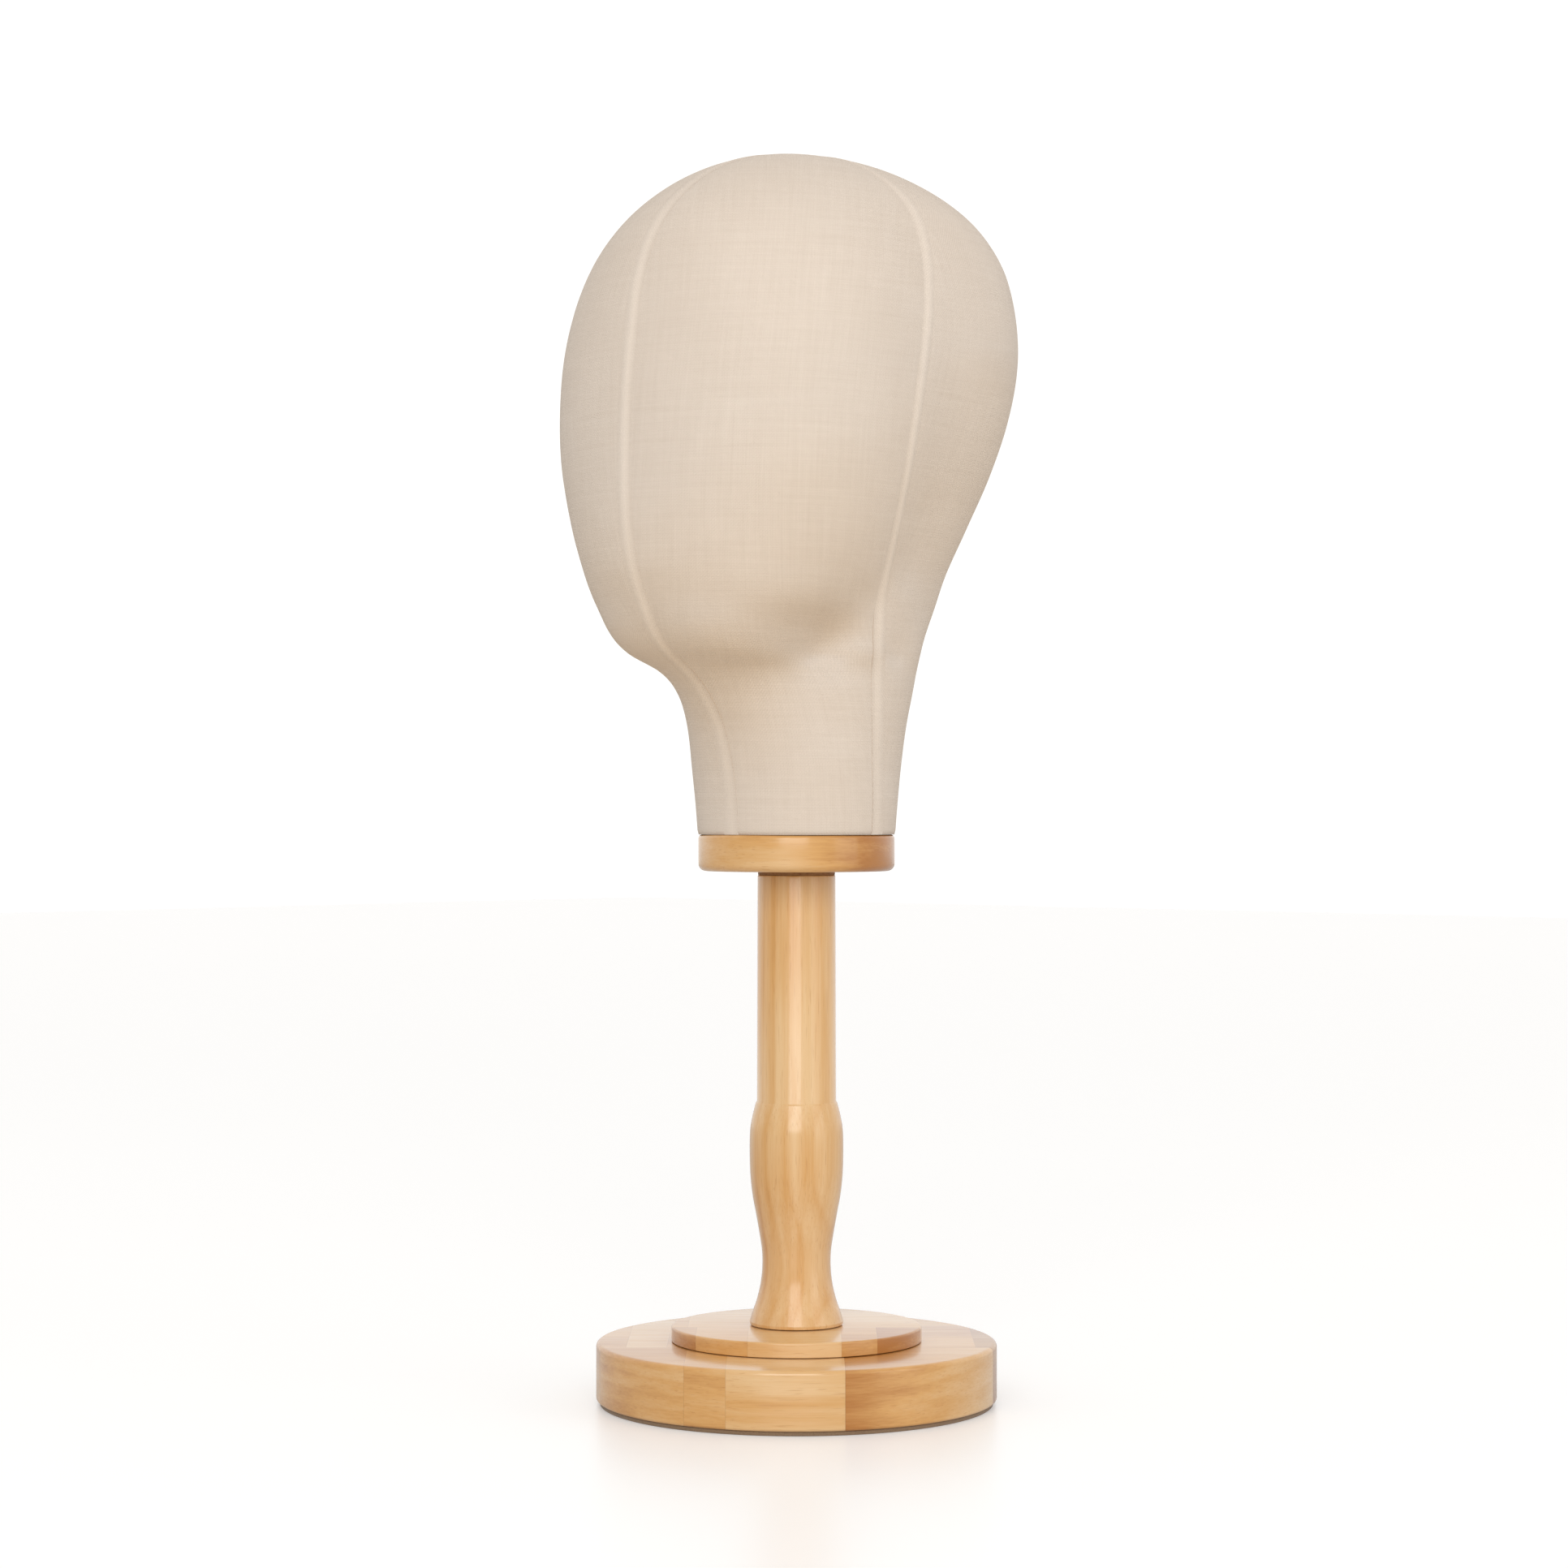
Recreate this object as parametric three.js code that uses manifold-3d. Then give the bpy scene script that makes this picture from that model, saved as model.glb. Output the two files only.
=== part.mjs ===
// Mannequin head stand: a linen-covered head form that sits on a turned wooden post with a round base.
// Units are millimetres, +Z is up and the face looks along -Y.
// The origin is on the post's axis, at the underside of the felt pad.
import * as THREE from "three";
import { mergeVertices } from "three/addons/utils/BufferGeometryUtils.js";
import Module from "manifold-3d";

const wasm = await Module();
wasm.setup();

// Gap between touching pieces, and how far a cutting shape runs past the face it opens
const CLEARANCE = 0.3;
const CUT_OVERRUN = 5;

// Base
const PAD_RADIUS = 78.5;
const PAD_THICKNESS = 1.5;
const BASE_RADIUS = 80;
const BASE_TOP = 24.8;
const BASE_EDGE = 2;
const PLINTH_RADIUS = 50;
const PLINTH_TOP = 31;
const PLINTH_EDGE = 1;

// Post
const FOOT_RADIUS = 18.7;
const SHAFT_RADIUS = 15.6;
const SHAFT_FOOT_RADIUS = 15.8;
const COLLAR_RADIUS = 16.4;
const COLLAR_HEIGHT = 119.6;
const POST_SHOULDER = 210.8;
const TENON_RADIUS = 12;
const TENON_FOOT = 17;
const SPIGOT_RADIUS = 10;
const SPIGOT_TOP = 254.5;
const SPIGOT_CHAMFER = 1.5;
const POST_ARRIS = 0.5;
const COLLAR_STEP = 1;
const FOOT_LIP = 1.2;
// Radius and height of the turned swelling, from under the collar down to the foot
const BALUSTER = [
  [17.5, 115.2],
  [18.5, 109.5],
  [18.75, 102],
  [18.5, 91.5],
  [17.6, 83],
  [16.4, 76.5],
  [14.8, 67.5],
  [13.8, 60.5],
  [13.7, 54],
  [14.4, 47.5],
  [15.9, 41.2],
  [17.6, 36.4],
  [18.4, 33.6],
];

// Clamp bolt, its washer and the insert in the post's foot
const COUNTERBORE_RADIUS = 13.5;
const COUNTERBORE_TOP = 10;
const BOLT_RADIUS = 4;
const BOLT_TIP = 58;
const BOLT_CHAMFER = 1;
const BOLT_HEAD_RADIUS = 7.5;
const BOLT_HEAD_FOOT = 2.6;
const BOLT_HEAD_TOP = 7.9;
const WASHER_RADIUS = 12;
const WASHER_THICKNESS = 1.5;
const INSERT_RADIUS = 6;
const INSERT_TOP = 33;
const BOLT_HOLE_TOP = 62;

// Neck disc, the plug above it, and what they turn on
const NECK_RADIUS = 39.3;
const NECK_DISC_FOOT = 212.4;
const NECK_DISC_TOP = 226.7;
const NECK_DISC_EDGE = 3;
const NECK_DISC_TOP_EDGE = 2;
const BUSH_BORE = 10.12;
const BUSH_RADIUS = 11.5;
const BUSH_TOP = 256;
const BUSH_HOLE_TOP = 257;
const THRUST_WASHER_RADIUS = 15.4;
const THRUST_WASHER_BORE = 10.4;
const NECK_BLOCK_RADIUS = 26;
const NECK_BLOCK_TOP = 262;
const SCREW_CIRCLE = 18.5;
const SCREW_COUNT = 4;
const SCREW_RADIUS = 1.8;
const SCREW_HEAD_RADIUS = 3.6;
const SCREW_HEAD_FOOT = 212.8;
const SCREW_HEAD_HEIGHT = 2.4;
const SCREW_RIM = 0.4;
const SCREW_TAPER = 5;
const SCREW_TIP_RADIUS = 0.4;
const SCREW_TIP = 246;

// Head: height of each section, then its radius from the post's axis in nine directions,
// evenly spaced from the face past the cheek, the ear in the middle and on to the back of the head
const HEAD_SECTIONS = [
  [227, 38.5, 39, 39.5, 39.5, 39.5, 39.5, 39.5, 39.5, 39.5],
  [240, 39.5, 40, 40.5, 40.5, 40.5, 40.5, 40.5, 40.5, 40.5],
  [255, 42, 42, 42, 42, 41.5, 41.5, 42, 42.5, 43],
  [270, 47, 46, 43.5, 43, 43, 43.5, 44, 45, 45.5],
  [283, 56, 52, 45.5, 44.5, 44.5, 45.5, 46.5, 48, 48.5],
  [291, 65, 59.5, 47, 45, 45.5, 46.5, 48, 50, 51],
  [298, 75.5, 73, 49.5, 46, 46.5, 47.5, 49.5, 52, 53],
  [306, 83, 81, 57, 48, 48, 49, 51.5, 54.5, 55.5],
  [318, 89.5, 86.5, 72, 55.5, 50.5, 51, 55, 59, 60],
  [332, 95, 91.5, 80, 64.5, 54, 54, 59.5, 64.5, 66],
  [350, 98, 95.5, 86.5, 72.5, 60.5, 60.5, 67.5, 73, 74.5],
  [372, 98.5, 97.5, 91.5, 78.5, 68, 68.5, 77, 83, 84.5],
  [395, 97.5, 97.5, 92.5, 81, 72.5, 74.5, 84.5, 91, 92.5],
  [418, 95, 95, 91, 81, 74, 78.5, 88.5, 95, 97],
  [440, 91, 90, 85, 77, 71.5, 76, 86.5, 94, 95.5],
  [458, 83.5, 81.5, 75.5, 69, 66, 71.5, 81, 87.5, 88.5],
  [474, 70, 67.5, 61.5, 56.5, 56, 61.5, 69, 74, 75.5],
  [487.5, 49.5, 47.5, 43, 40, 39.5, 43.5, 49, 53, 53.5],
  [495.7, 25.5, 24.5, 22.5, 21, 21, 23, 25.5, 27.5, 28],
  [498.5, 0, 0, 0, 0, 0, 0, 0, 0, 0],
];
const EAR_COLUMN = 5;
const LINEN_THICKNESS = 1.2;
const CORE_DEPTH = 3.1;
const SEAM_WIDTH = 3;
const SEAM_PROUD = 0.7;
const SEAM_SHOULDER = 0.1;
const SEAM_CREST_SHARE = 0.55;
const SIDE_SEAM_ANGLE = 96;
const SIDE_SEAM_BEND = 16.5;
const SIDE_SEAM_BEND_POWER = 1.5;
const PANEL_TIP_RADIUS = 3.6;
const SIDE_SEAM_TIP_RADIUS = 2;
// Step for slopes on the head's surface, and how often a search between two places is halved
const SLOPE_STEP = 0.01;
const SEARCH_STEPS = 30;

// Facets
const ROUND_STEPS = 48;
const POST_STEPS = 36;
const SMALL_STEPS = 16;
const HEAD_ROWS = 26;
const CORE_STEPS = 32;
const PANEL_STEPS = 7;

const BASE_FOOT = PAD_THICKNESS + CLEARANCE;
const PLINTH_FOOT = BASE_TOP + CLEARANCE;
const POST_FOOT = PLINTH_TOP + CLEARANCE;
const HEAD_FOOT = HEAD_SECTIONS[0][0];
const CROWN = HEAD_SECTIONS[HEAD_SECTIONS.length - 1][0];
const LAST_SECTION = HEAD_SECTIONS.length - 1;

const LINEN = new THREE.MeshStandardMaterial({ color: 0xdccbb8, roughness: 0.95, metalness: 0 });
const SEAM_LINEN = new THREE.MeshStandardMaterial({ color: 0xe6d8c6, roughness: 0.9, metalness: 0 });
const LACQUERED_WOOD = new THREE.MeshStandardMaterial({ color: 0xd9a86c, roughness: 0.25, metalness: 0 });
const RAW_WOOD = new THREE.MeshStandardMaterial({ color: 0xd6b88a, roughness: 0.8, metalness: 0 });
const FOAM = new THREE.MeshStandardMaterial({ color: 0xefe9dc, roughness: 0.95, metalness: 0 });
const FELT = new THREE.MeshStandardMaterial({ color: 0x4a3a2c, roughness: 1, metalness: 0 });
const ZINC_STEEL = new THREE.MeshStandardMaterial({ color: 0xb9bcc0, roughness: 0.35, metalness: 1 });
const BRASS = new THREE.MeshStandardMaterial({ color: 0xc9a24e, roughness: 0.35, metalness: 1 });
const NYLON = new THREE.MeshStandardMaterial({ color: 0x76593d, roughness: 0.5, metalness: 0 });

function named(name, geometry, material) {
  const mesh = new THREE.Mesh(geometry, material);
  mesh.name = name;
  return mesh;
}

// Turned piece: the outline's points are radius and height, and the axis is Z.
function turned(points, steps) {
  const outline = points.map(([radius, height]) => new THREE.Vector2(radius, height));
  return new THREE.LatheGeometry(outline, steps).rotateX(Math.PI / 2);
}

// Points of an outline drawn as a path, with its curves cut into steps.
function pathPoints(path, steps) {
  return path.getPoints(steps).map((point) => [point.x, point.y]);
}

function solidOf(geometry) {
  const bare = geometry.clone();
  bare.deleteAttribute("normal");
  bare.deleteAttribute("uv");
  const merged = mergeVertices(bare, 1e-4);
  const mesh = new wasm.Mesh({
    numProp: 3,
    vertProperties: merged.attributes.position.array,
    triVerts: new Uint32Array(merged.index.array),
  });
  return new wasm.Manifold(mesh);
}

function geometryOf(solid) {
  const mesh = solid.getMesh();
  const geometry = new THREE.BufferGeometry();
  geometry.setAttribute("position", new THREE.BufferAttribute(mesh.vertProperties, 3));
  geometry.setIndex(new THREE.BufferAttribute(mesh.triVerts, 1));
  geometry.computeVertexNormals();
  return geometry;
}

function basePad() {
  const outline = [
    [0, 0],
    [PAD_RADIUS, 0],
    [PAD_RADIUS, PAD_THICKNESS],
    [0, PAD_THICKNESS],
  ];
  return named("base_pad", turned(outline, ROUND_STEPS), FELT);
}

// The base is a thick disc with a counterbore for the bolt head and a mortise for the post's tenon.
function baseDisc() {
  const mortise = TENON_RADIUS + CLEARANCE;
  const mortiseFoot = TENON_FOOT - CLEARANCE;
  const bolt = BOLT_RADIUS + CLEARANCE;
  const path = new THREE.Path();
  path.moveTo(COUNTERBORE_RADIUS, BASE_FOOT);
  path.lineTo(BASE_RADIUS - BASE_EDGE, BASE_FOOT);
  path.absarc(BASE_RADIUS - BASE_EDGE, BASE_FOOT + BASE_EDGE, BASE_EDGE, -Math.PI / 2, 0);
  path.absarc(BASE_RADIUS - BASE_EDGE, BASE_TOP - BASE_EDGE, BASE_EDGE, 0, Math.PI / 2);
  path.lineTo(mortise, BASE_TOP);
  path.lineTo(mortise, mortiseFoot);
  path.lineTo(bolt, mortiseFoot);
  path.lineTo(bolt, COUNTERBORE_TOP);
  path.lineTo(COUNTERBORE_RADIUS, COUNTERBORE_TOP);
  path.lineTo(COUNTERBORE_RADIUS, BASE_FOOT);
  return named("base_disc", turned(pathPoints(path, 2), ROUND_STEPS), LACQUERED_WOOD);
}

function plinthDisc() {
  const hole = TENON_RADIUS + CLEARANCE;
  const path = new THREE.Path();
  path.moveTo(hole, PLINTH_FOOT);
  path.lineTo(PLINTH_RADIUS, PLINTH_FOOT);
  path.absarc(PLINTH_RADIUS - PLINTH_EDGE, PLINTH_TOP - PLINTH_EDGE, PLINTH_EDGE, 0, Math.PI / 2);
  path.lineTo(hole, PLINTH_TOP);
  path.lineTo(hole, PLINTH_FOOT);
  return named("plinth_disc", turned(pathPoints(path, 2), ROUND_STEPS), LACQUERED_WOOD);
}

// The post is turned in one piece: tenon, foot, swelling, shaft and the spigot that the head sits on.
function post() {
  const path = new THREE.Path();
  path.moveTo(0, SPIGOT_TOP);
  path.lineTo(SPIGOT_RADIUS - SPIGOT_CHAMFER, SPIGOT_TOP);
  path.lineTo(SPIGOT_RADIUS, SPIGOT_TOP - SPIGOT_CHAMFER);
  path.lineTo(SPIGOT_RADIUS, POST_SHOULDER);
  path.lineTo(SHAFT_RADIUS - POST_ARRIS, POST_SHOULDER);
  path.lineTo(SHAFT_RADIUS, POST_SHOULDER - POST_ARRIS);
  path.lineTo(SHAFT_FOOT_RADIUS, COLLAR_HEIGHT + COLLAR_STEP);
  path.lineTo(COLLAR_RADIUS, COLLAR_HEIGHT);
  path.splineThru(BALUSTER.map(([radius, height]) => new THREE.Vector2(radius, height)));
  path.lineTo(FOOT_RADIUS, POST_FOOT + FOOT_LIP);
  path.lineTo(FOOT_RADIUS - POST_ARRIS, POST_FOOT);
  path.lineTo(TENON_RADIUS, POST_FOOT);
  path.lineTo(TENON_RADIUS, TENON_FOOT);
  path.lineTo(INSERT_RADIUS + CLEARANCE, TENON_FOOT);
  path.lineTo(INSERT_RADIUS + CLEARANCE, INSERT_TOP + CLEARANCE);
  path.lineTo(BOLT_RADIUS + CLEARANCE, INSERT_TOP + CLEARANCE);
  path.lineTo(BOLT_RADIUS + CLEARANCE, BOLT_HOLE_TOP);
  path.lineTo(0, BOLT_HOLE_TOP);
  const points = pathPoints(path, 1).reverse();
  return named("post", turned(points, POST_STEPS), LACQUERED_WOOD);
}

function baseBolt() {
  const headHeight = BOLT_HEAD_TOP - BOLT_HEAD_FOOT;
  const head = new THREE.CylinderGeometry(BOLT_HEAD_RADIUS, BOLT_HEAD_RADIUS, headHeight, 6);
  head.rotateX(Math.PI / 2).translate(0, 0, BOLT_HEAD_FOOT + headHeight / 2);
  const shank = turned(
    [
      [0, BOLT_HEAD_FOOT + headHeight / 2],
      [BOLT_RADIUS, BOLT_HEAD_FOOT + headHeight / 2],
      [BOLT_RADIUS, BOLT_TIP - BOLT_CHAMFER],
      [BOLT_RADIUS - BOLT_CHAMFER, BOLT_TIP],
      [0, BOLT_TIP],
    ],
    SMALL_STEPS,
  );
  const bolt = solidOf(head).add(solidOf(shank));
  return named("base_bolt", geometryOf(bolt), ZINC_STEEL);
}

// Flat ring or sleeve between two radii and two heights.
function ring(bore, radius, foot, top, steps) {
  const outline = [
    [bore, foot],
    [radius, foot],
    [radius, top],
    [bore, top],
    [bore, foot],
  ];
  return turned(outline, steps);
}

function baseWasher() {
  const top = COUNTERBORE_TOP - CLEARANCE;
  const foot = top - WASHER_THICKNESS;
  const geometry = ring(BOLT_RADIUS + CLEARANCE, WASHER_RADIUS, foot, top, POST_STEPS);
  return named("base_washer", geometry, ZINC_STEEL);
}

function postInsert() {
  const geometry = ring(BOLT_RADIUS + CLEARANCE, INSERT_RADIUS, TENON_FOOT, INSERT_TOP, SMALL_STEPS);
  return named("post_insert", geometry, BRASS);
}

function swivelWasher() {
  const foot = POST_SHOULDER + CLEARANCE;
  const top = NECK_DISC_FOOT - CLEARANCE;
  const geometry = ring(THRUST_WASHER_BORE, THRUST_WASHER_RADIUS, foot, top, POST_STEPS);
  return named("swivel_washer", geometry, NYLON);
}

// A countersunk wood screw, point up, grown by the given clearance where it is used as a hole.
function screwAt(index, clearance) {
  const radius = SCREW_RADIUS + clearance;
  const headFoot = clearance ? NECK_DISC_FOOT - CUT_OVERRUN : SCREW_HEAD_FOOT;
  const cone = SCREW_HEAD_FOOT + clearance;
  const tip = SCREW_TIP + clearance;
  const outline = [
    [0, headFoot],
    [SCREW_HEAD_RADIUS + clearance, headFoot],
    [SCREW_HEAD_RADIUS + clearance, cone + SCREW_RIM],
    [radius, cone + SCREW_HEAD_HEIGHT],
    [radius, tip - SCREW_TAPER],
    [SCREW_TIP_RADIUS + clearance, tip],
    [0, tip],
  ];
  const turn = ((index + 0.5) * 2 * Math.PI) / SCREW_COUNT;
  const screw = turned(outline, SMALL_STEPS);
  return screw.translate(SCREW_CIRCLE * Math.cos(turn), SCREW_CIRCLE * Math.sin(turn), 0);
}

function discScrews() {
  return Array.from({ length: SCREW_COUNT }, (_, index) =>
    named(`disc_screw_${index + 1}`, screwAt(index, 0), ZINC_STEEL),
  );
}

function withoutScrewHoles(geometry) {
  let solid = solidOf(geometry);
  for (let index = 0; index < SCREW_COUNT; index++) {
    solid = solid.subtract(solidOf(screwAt(index, CLEARANCE)));
  }
  return geometryOf(solid);
}

function neckDisc() {
  const hole = BUSH_RADIUS + CLEARANCE;
  const low = NECK_DISC_EDGE;
  const high = NECK_DISC_TOP_EDGE;
  const path = new THREE.Path();
  path.moveTo(hole, NECK_DISC_FOOT);
  path.lineTo(NECK_RADIUS - low, NECK_DISC_FOOT);
  path.absarc(NECK_RADIUS - low, NECK_DISC_FOOT + low, low, -Math.PI / 2, 0);
  path.absarc(NECK_RADIUS - high, NECK_DISC_TOP - high, high, 0, Math.PI / 2);
  path.lineTo(hole, NECK_DISC_TOP);
  path.lineTo(hole, NECK_DISC_FOOT);
  const disc = turned(pathPoints(path, 3), ROUND_STEPS);
  return named("neck_disc", withoutScrewHoles(disc), LACQUERED_WOOD);
}

// The plug in the foam neck takes the disc's screws and has a blind hole for the bush.
function neckBlock() {
  const hole = BUSH_RADIUS + CLEARANCE;
  const outline = [
    [hole, HEAD_FOOT],
    [NECK_BLOCK_RADIUS, HEAD_FOOT],
    [NECK_BLOCK_RADIUS, NECK_BLOCK_TOP],
    [0, NECK_BLOCK_TOP],
    [0, BUSH_HOLE_TOP],
    [hole, BUSH_HOLE_TOP],
    [hole, HEAD_FOOT],
  ];
  return named("neck_block", withoutScrewHoles(turned(outline, POST_STEPS)), RAW_WOOD);
}

function swivelBush() {
  const foot = NECK_DISC_FOOT + CLEARANCE;
  return named("swivel_bush", ring(BUSH_BORE, BUSH_RADIUS, foot, BUSH_TOP, ROUND_STEPS), BRASS);
}

// A smooth curve through four values in a row, between the middle two.
function between(before, from, to, after, share) {
  const slope = (to - before) / 2;
  const nextSlope = (after - from) / 2;
  const square = share * share;
  const cube = square * share;
  return (
    from * (2 * cube - 3 * square + 1) +
    slope * (cube - 2 * square + share) +
    to * (3 * square - 2 * cube) +
    nextSlope * (cube - square)
  );
}

// Section of the head at a place along the list of sections: its height, then its radii.
function sectionAt(place) {
  const index = Math.min(Math.floor(place), LAST_SECTION - 1);
  const share = place - index;
  const from = HEAD_SECTIONS[index];
  const to = HEAD_SECTIONS[index + 1];
  return from.map((value, column) => {
    const before = index > 0 ? HEAD_SECTIONS[index - 1][column] : 2 * value - to[column];
    // Past the crown the outline comes down again on the other side.
    const mirrored = column === 0 ? from[column] : -from[column];
    const after = index + 2 <= LAST_SECTION ? HEAD_SECTIONS[index + 2][column] : mirrored;
    return between(before, value, to[column], after, share);
  });
}

// Radius at an angle from the face, by a cosine series through the section's radii.
function radiusAt(section, angle) {
  const radii = section.slice(1);
  const last = radii.length - 1;
  return radii.reduce((total, _, wave) => {
    const sum = radii.reduce((part, radius, index) => {
      const share = index === 0 || index === last ? 0.5 : 1;
      return part + share * radius * Math.cos((Math.PI * wave * index) / last);
    }, 0);
    const weight = wave === 0 || wave === last ? 1 : 2;
    return total + ((weight * sum) / last) * Math.cos(wave * angle);
  }, 0);
}

function headPoint(place, angle) {
  const section = sectionAt(place);
  const radius = radiusAt(section, angle);
  return new THREE.Vector3(radius * Math.sin(angle), -radius * Math.cos(angle), section[0]);
}

function headNormal(place, angle) {
  if (place > LAST_SECTION - SLOPE_STEP) return new THREE.Vector3(0, 0, 1);
  const low = Math.max(place - SLOPE_STEP, 0);
  const up = headPoint(place + SLOPE_STEP, angle).sub(headPoint(low, angle));
  const round = headPoint(place, angle + SLOPE_STEP).sub(headPoint(place, angle - SLOPE_STEP));
  return round.cross(up).normalize();
}

// Point at a depth under the head's surface. The lowest row stays level with the neck's foot.
function skinPoint(place, angle, depth) {
  const point = headPoint(place, angle).addScaledVector(headNormal(place, angle), -depth);
  if (place === 0) point.z = HEAD_FOOT;
  return point;
}

// Angle of the left side seam, which bows forward over the ear. The right one mirrors it.
function sideSeamAngle(place) {
  const rise = THREE.MathUtils.clamp((sectionAt(place)[0] - HEAD_FOOT) / (CROWN - HEAD_FOOT), 0, 1);
  const bow = Math.pow(Math.sin(Math.PI * rise), SIDE_SEAM_BEND_POWER);
  return THREE.MathUtils.degToRad(SIDE_SEAM_ANGLE - SIDE_SEAM_BEND * bow);
}

// Place near the crown where the ear radius has come down to the given value.
function placeAtRadius(radius) {
  let low = LAST_SECTION - 1;
  let high = LAST_SECTION;
  for (let step = 0; step < SEARCH_STEPS; step++) {
    const middle = (low + high) / 2;
    if (sectionAt(middle)[EAR_COLUMN] > radius) low = middle;
    else high = middle;
  }
  return low;
}

function triangles(points, faces) {
  const geometry = new THREE.BufferGeometry().setFromPoints(points);
  geometry.setIndex(faces);
  geometry.computeVertexNormals();
  return geometry;
}

// The foam core is the head's form, smaller by the linen and its backing, with a socket for the block.
function headCore() {
  const points = [];
  const faces = [];
  for (let row = 0; row < HEAD_ROWS; row++) {
    const place = (row * LAST_SECTION) / HEAD_ROWS;
    for (let step = 0; step < CORE_STEPS; step++) {
      points.push(skinPoint(place, (step * 2 * Math.PI) / CORE_STEPS, CORE_DEPTH));
    }
  }
  const crown = points.push(new THREE.Vector3(0, 0, CROWN - CORE_DEPTH)) - 1;
  const foot = points.push(new THREE.Vector3(0, 0, HEAD_FOOT)) - 1;
  const lastRow = (HEAD_ROWS - 1) * CORE_STEPS;
  for (let step = 0; step < CORE_STEPS; step++) {
    const next = (step + 1) % CORE_STEPS;
    for (let row = 0; row < HEAD_ROWS - 1; row++) {
      const a = row * CORE_STEPS + step;
      const b = row * CORE_STEPS + next;
      faces.push(a, b, b + CORE_STEPS, a, b + CORE_STEPS, a + CORE_STEPS);
    }
    faces.push(lastRow + step, lastRow + next, crown, foot, next, step);
  }
  const socket = turned(
    [
      [0, HEAD_FOOT - CUT_OVERRUN],
      [NECK_BLOCK_RADIUS + CLEARANCE, HEAD_FOOT - CUT_OVERRUN],
      [NECK_BLOCK_RADIUS + CLEARANCE, NECK_BLOCK_TOP + CLEARANCE],
      [0, NECK_BLOCK_TOP + CLEARANCE],
    ],
    POST_STEPS,
  );
  const core = solidOf(triangles(points, faces)).subtract(solidOf(socket));
  return named("head_core", geometryOf(core), FOAM);
}

// Half the width that a seam takes from the panels beside it, as an angle at a place and angle.
function seamMargin(place, angle) {
  const radius = radiusAt(sectionAt(place), angle);
  return Math.asin(Math.min(1, (SEAM_WIDTH / 2 + CLEARANCE) / radius));
}

// A linen panel covers a quarter of the head. The side is 1 for its left half and -1 for its right.
function linenPanel(name, side, isFront) {
  const tip = placeAtRadius(PANEL_TIP_RADIUS);
  const points = [];
  const faces = [];
  const columns = PANEL_STEPS + 1;
  for (const depth of [0, LINEN_THICKNESS]) {
    for (let row = 0; row <= HEAD_ROWS; row++) {
      const place = (row * tip) / HEAD_ROWS;
      const seam = sideSeamAngle(place);
      const near = isFront ? 0 : seam;
      const far = isFront ? seam : Math.PI;
      const start = near + seamMargin(place, near);
      const end = far - seamMargin(place, far);
      for (let column = 0; column < columns; column++) {
        const angle = start + ((end - start) * column) / PANEL_STEPS;
        points.push(skinPoint(place, side * angle, depth));
      }
    }
  }
  const inner = (HEAD_ROWS + 1) * columns;
  const quad = (a, b, c, d) => {
    if (side > 0) faces.push(a, b, c, a, c, d);
    else faces.push(a, c, b, a, d, c);
  };
  for (let row = 0; row < HEAD_ROWS; row++) {
    const low = row * columns;
    const high = low + columns;
    for (let column = 0; column < PANEL_STEPS; column++) {
      quad(low + column, low + column + 1, high + column + 1, high + column);
      quad(inner + low + column + 1, inner + low + column, inner + high + column, inner + high + column + 1);
    }
    quad(inner + low, low, high, inner + high);
    quad(low + PANEL_STEPS, inner + low + PANEL_STEPS, inner + high + PANEL_STEPS, high + PANEL_STEPS);
  }
  const top = HEAD_ROWS * columns;
  for (let column = 0; column < PANEL_STEPS; column++) {
    quad(column + 1, column, inner + column, inner + column + 1);
    quad(top + column, top + column + 1, inner + top + column + 1, inner + top + column);
  }
  return named(name, triangles(points, faces), LINEN);
}

// A seam is a low rounded band along a line on the head, from the panels' inner face to just proud.
function seamBand(name, line) {
  const half = SEAM_WIDTH / 2;
  const outline = [
    [-half, -LINEN_THICKNESS],
    [half, -LINEN_THICKNESS],
    [half, SEAM_SHOULDER],
    [half * SEAM_CREST_SHARE, SEAM_PROUD],
    [-half * SEAM_CREST_SHARE, SEAM_PROUD],
    [-half, SEAM_SHOULDER],
  ];
  const count = outline.length;
  const points = [];
  const faces = [];
  line.forEach(({ point, normal }, row) => {
    const before = line[Math.max(row - 1, 0)].point;
    const after = line[Math.min(row + 1, line.length - 1)].point;
    const across = after.clone().sub(before).cross(normal).normalize();
    for (const [offset, height] of outline) {
      const corner = point.clone().addScaledVector(across, offset).addScaledVector(normal, height);
      if (point.z === HEAD_FOOT) corner.z = HEAD_FOOT;
      points.push(corner);
    }
  });
  for (let row = 0; row + 1 < line.length; row++) {
    for (let corner = 0; corner < count; corner++) {
      const a = row * count + corner;
      const b = row * count + ((corner + 1) % count);
      faces.push(a, b + count, b, a, a + count, b + count);
    }
  }
  const last = (line.length - 1) * count;
  for (let corner = 1; corner + 1 < count; corner++) {
    faces.push(0, corner, corner + 1, last, last + corner + 1, last + corner);
  }
  return named(name, triangles(points, faces), SEAM_LINEN);
}

function seamStation(place, angle) {
  return { point: headPoint(place, angle), normal: headNormal(place, angle) };
}

// One seam runs from the throat over the crown to the nape.
function centreSeam() {
  const line = [];
  for (let row = 0; row <= HEAD_ROWS; row++) {
    line.push(seamStation((row * LAST_SECTION) / HEAD_ROWS, 0));
  }
  for (let row = HEAD_ROWS - 1; row >= 0; row--) {
    line.push(seamStation((row * LAST_SECTION) / HEAD_ROWS, Math.PI));
  }
  return seamBand("seam_centre", line);
}

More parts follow.
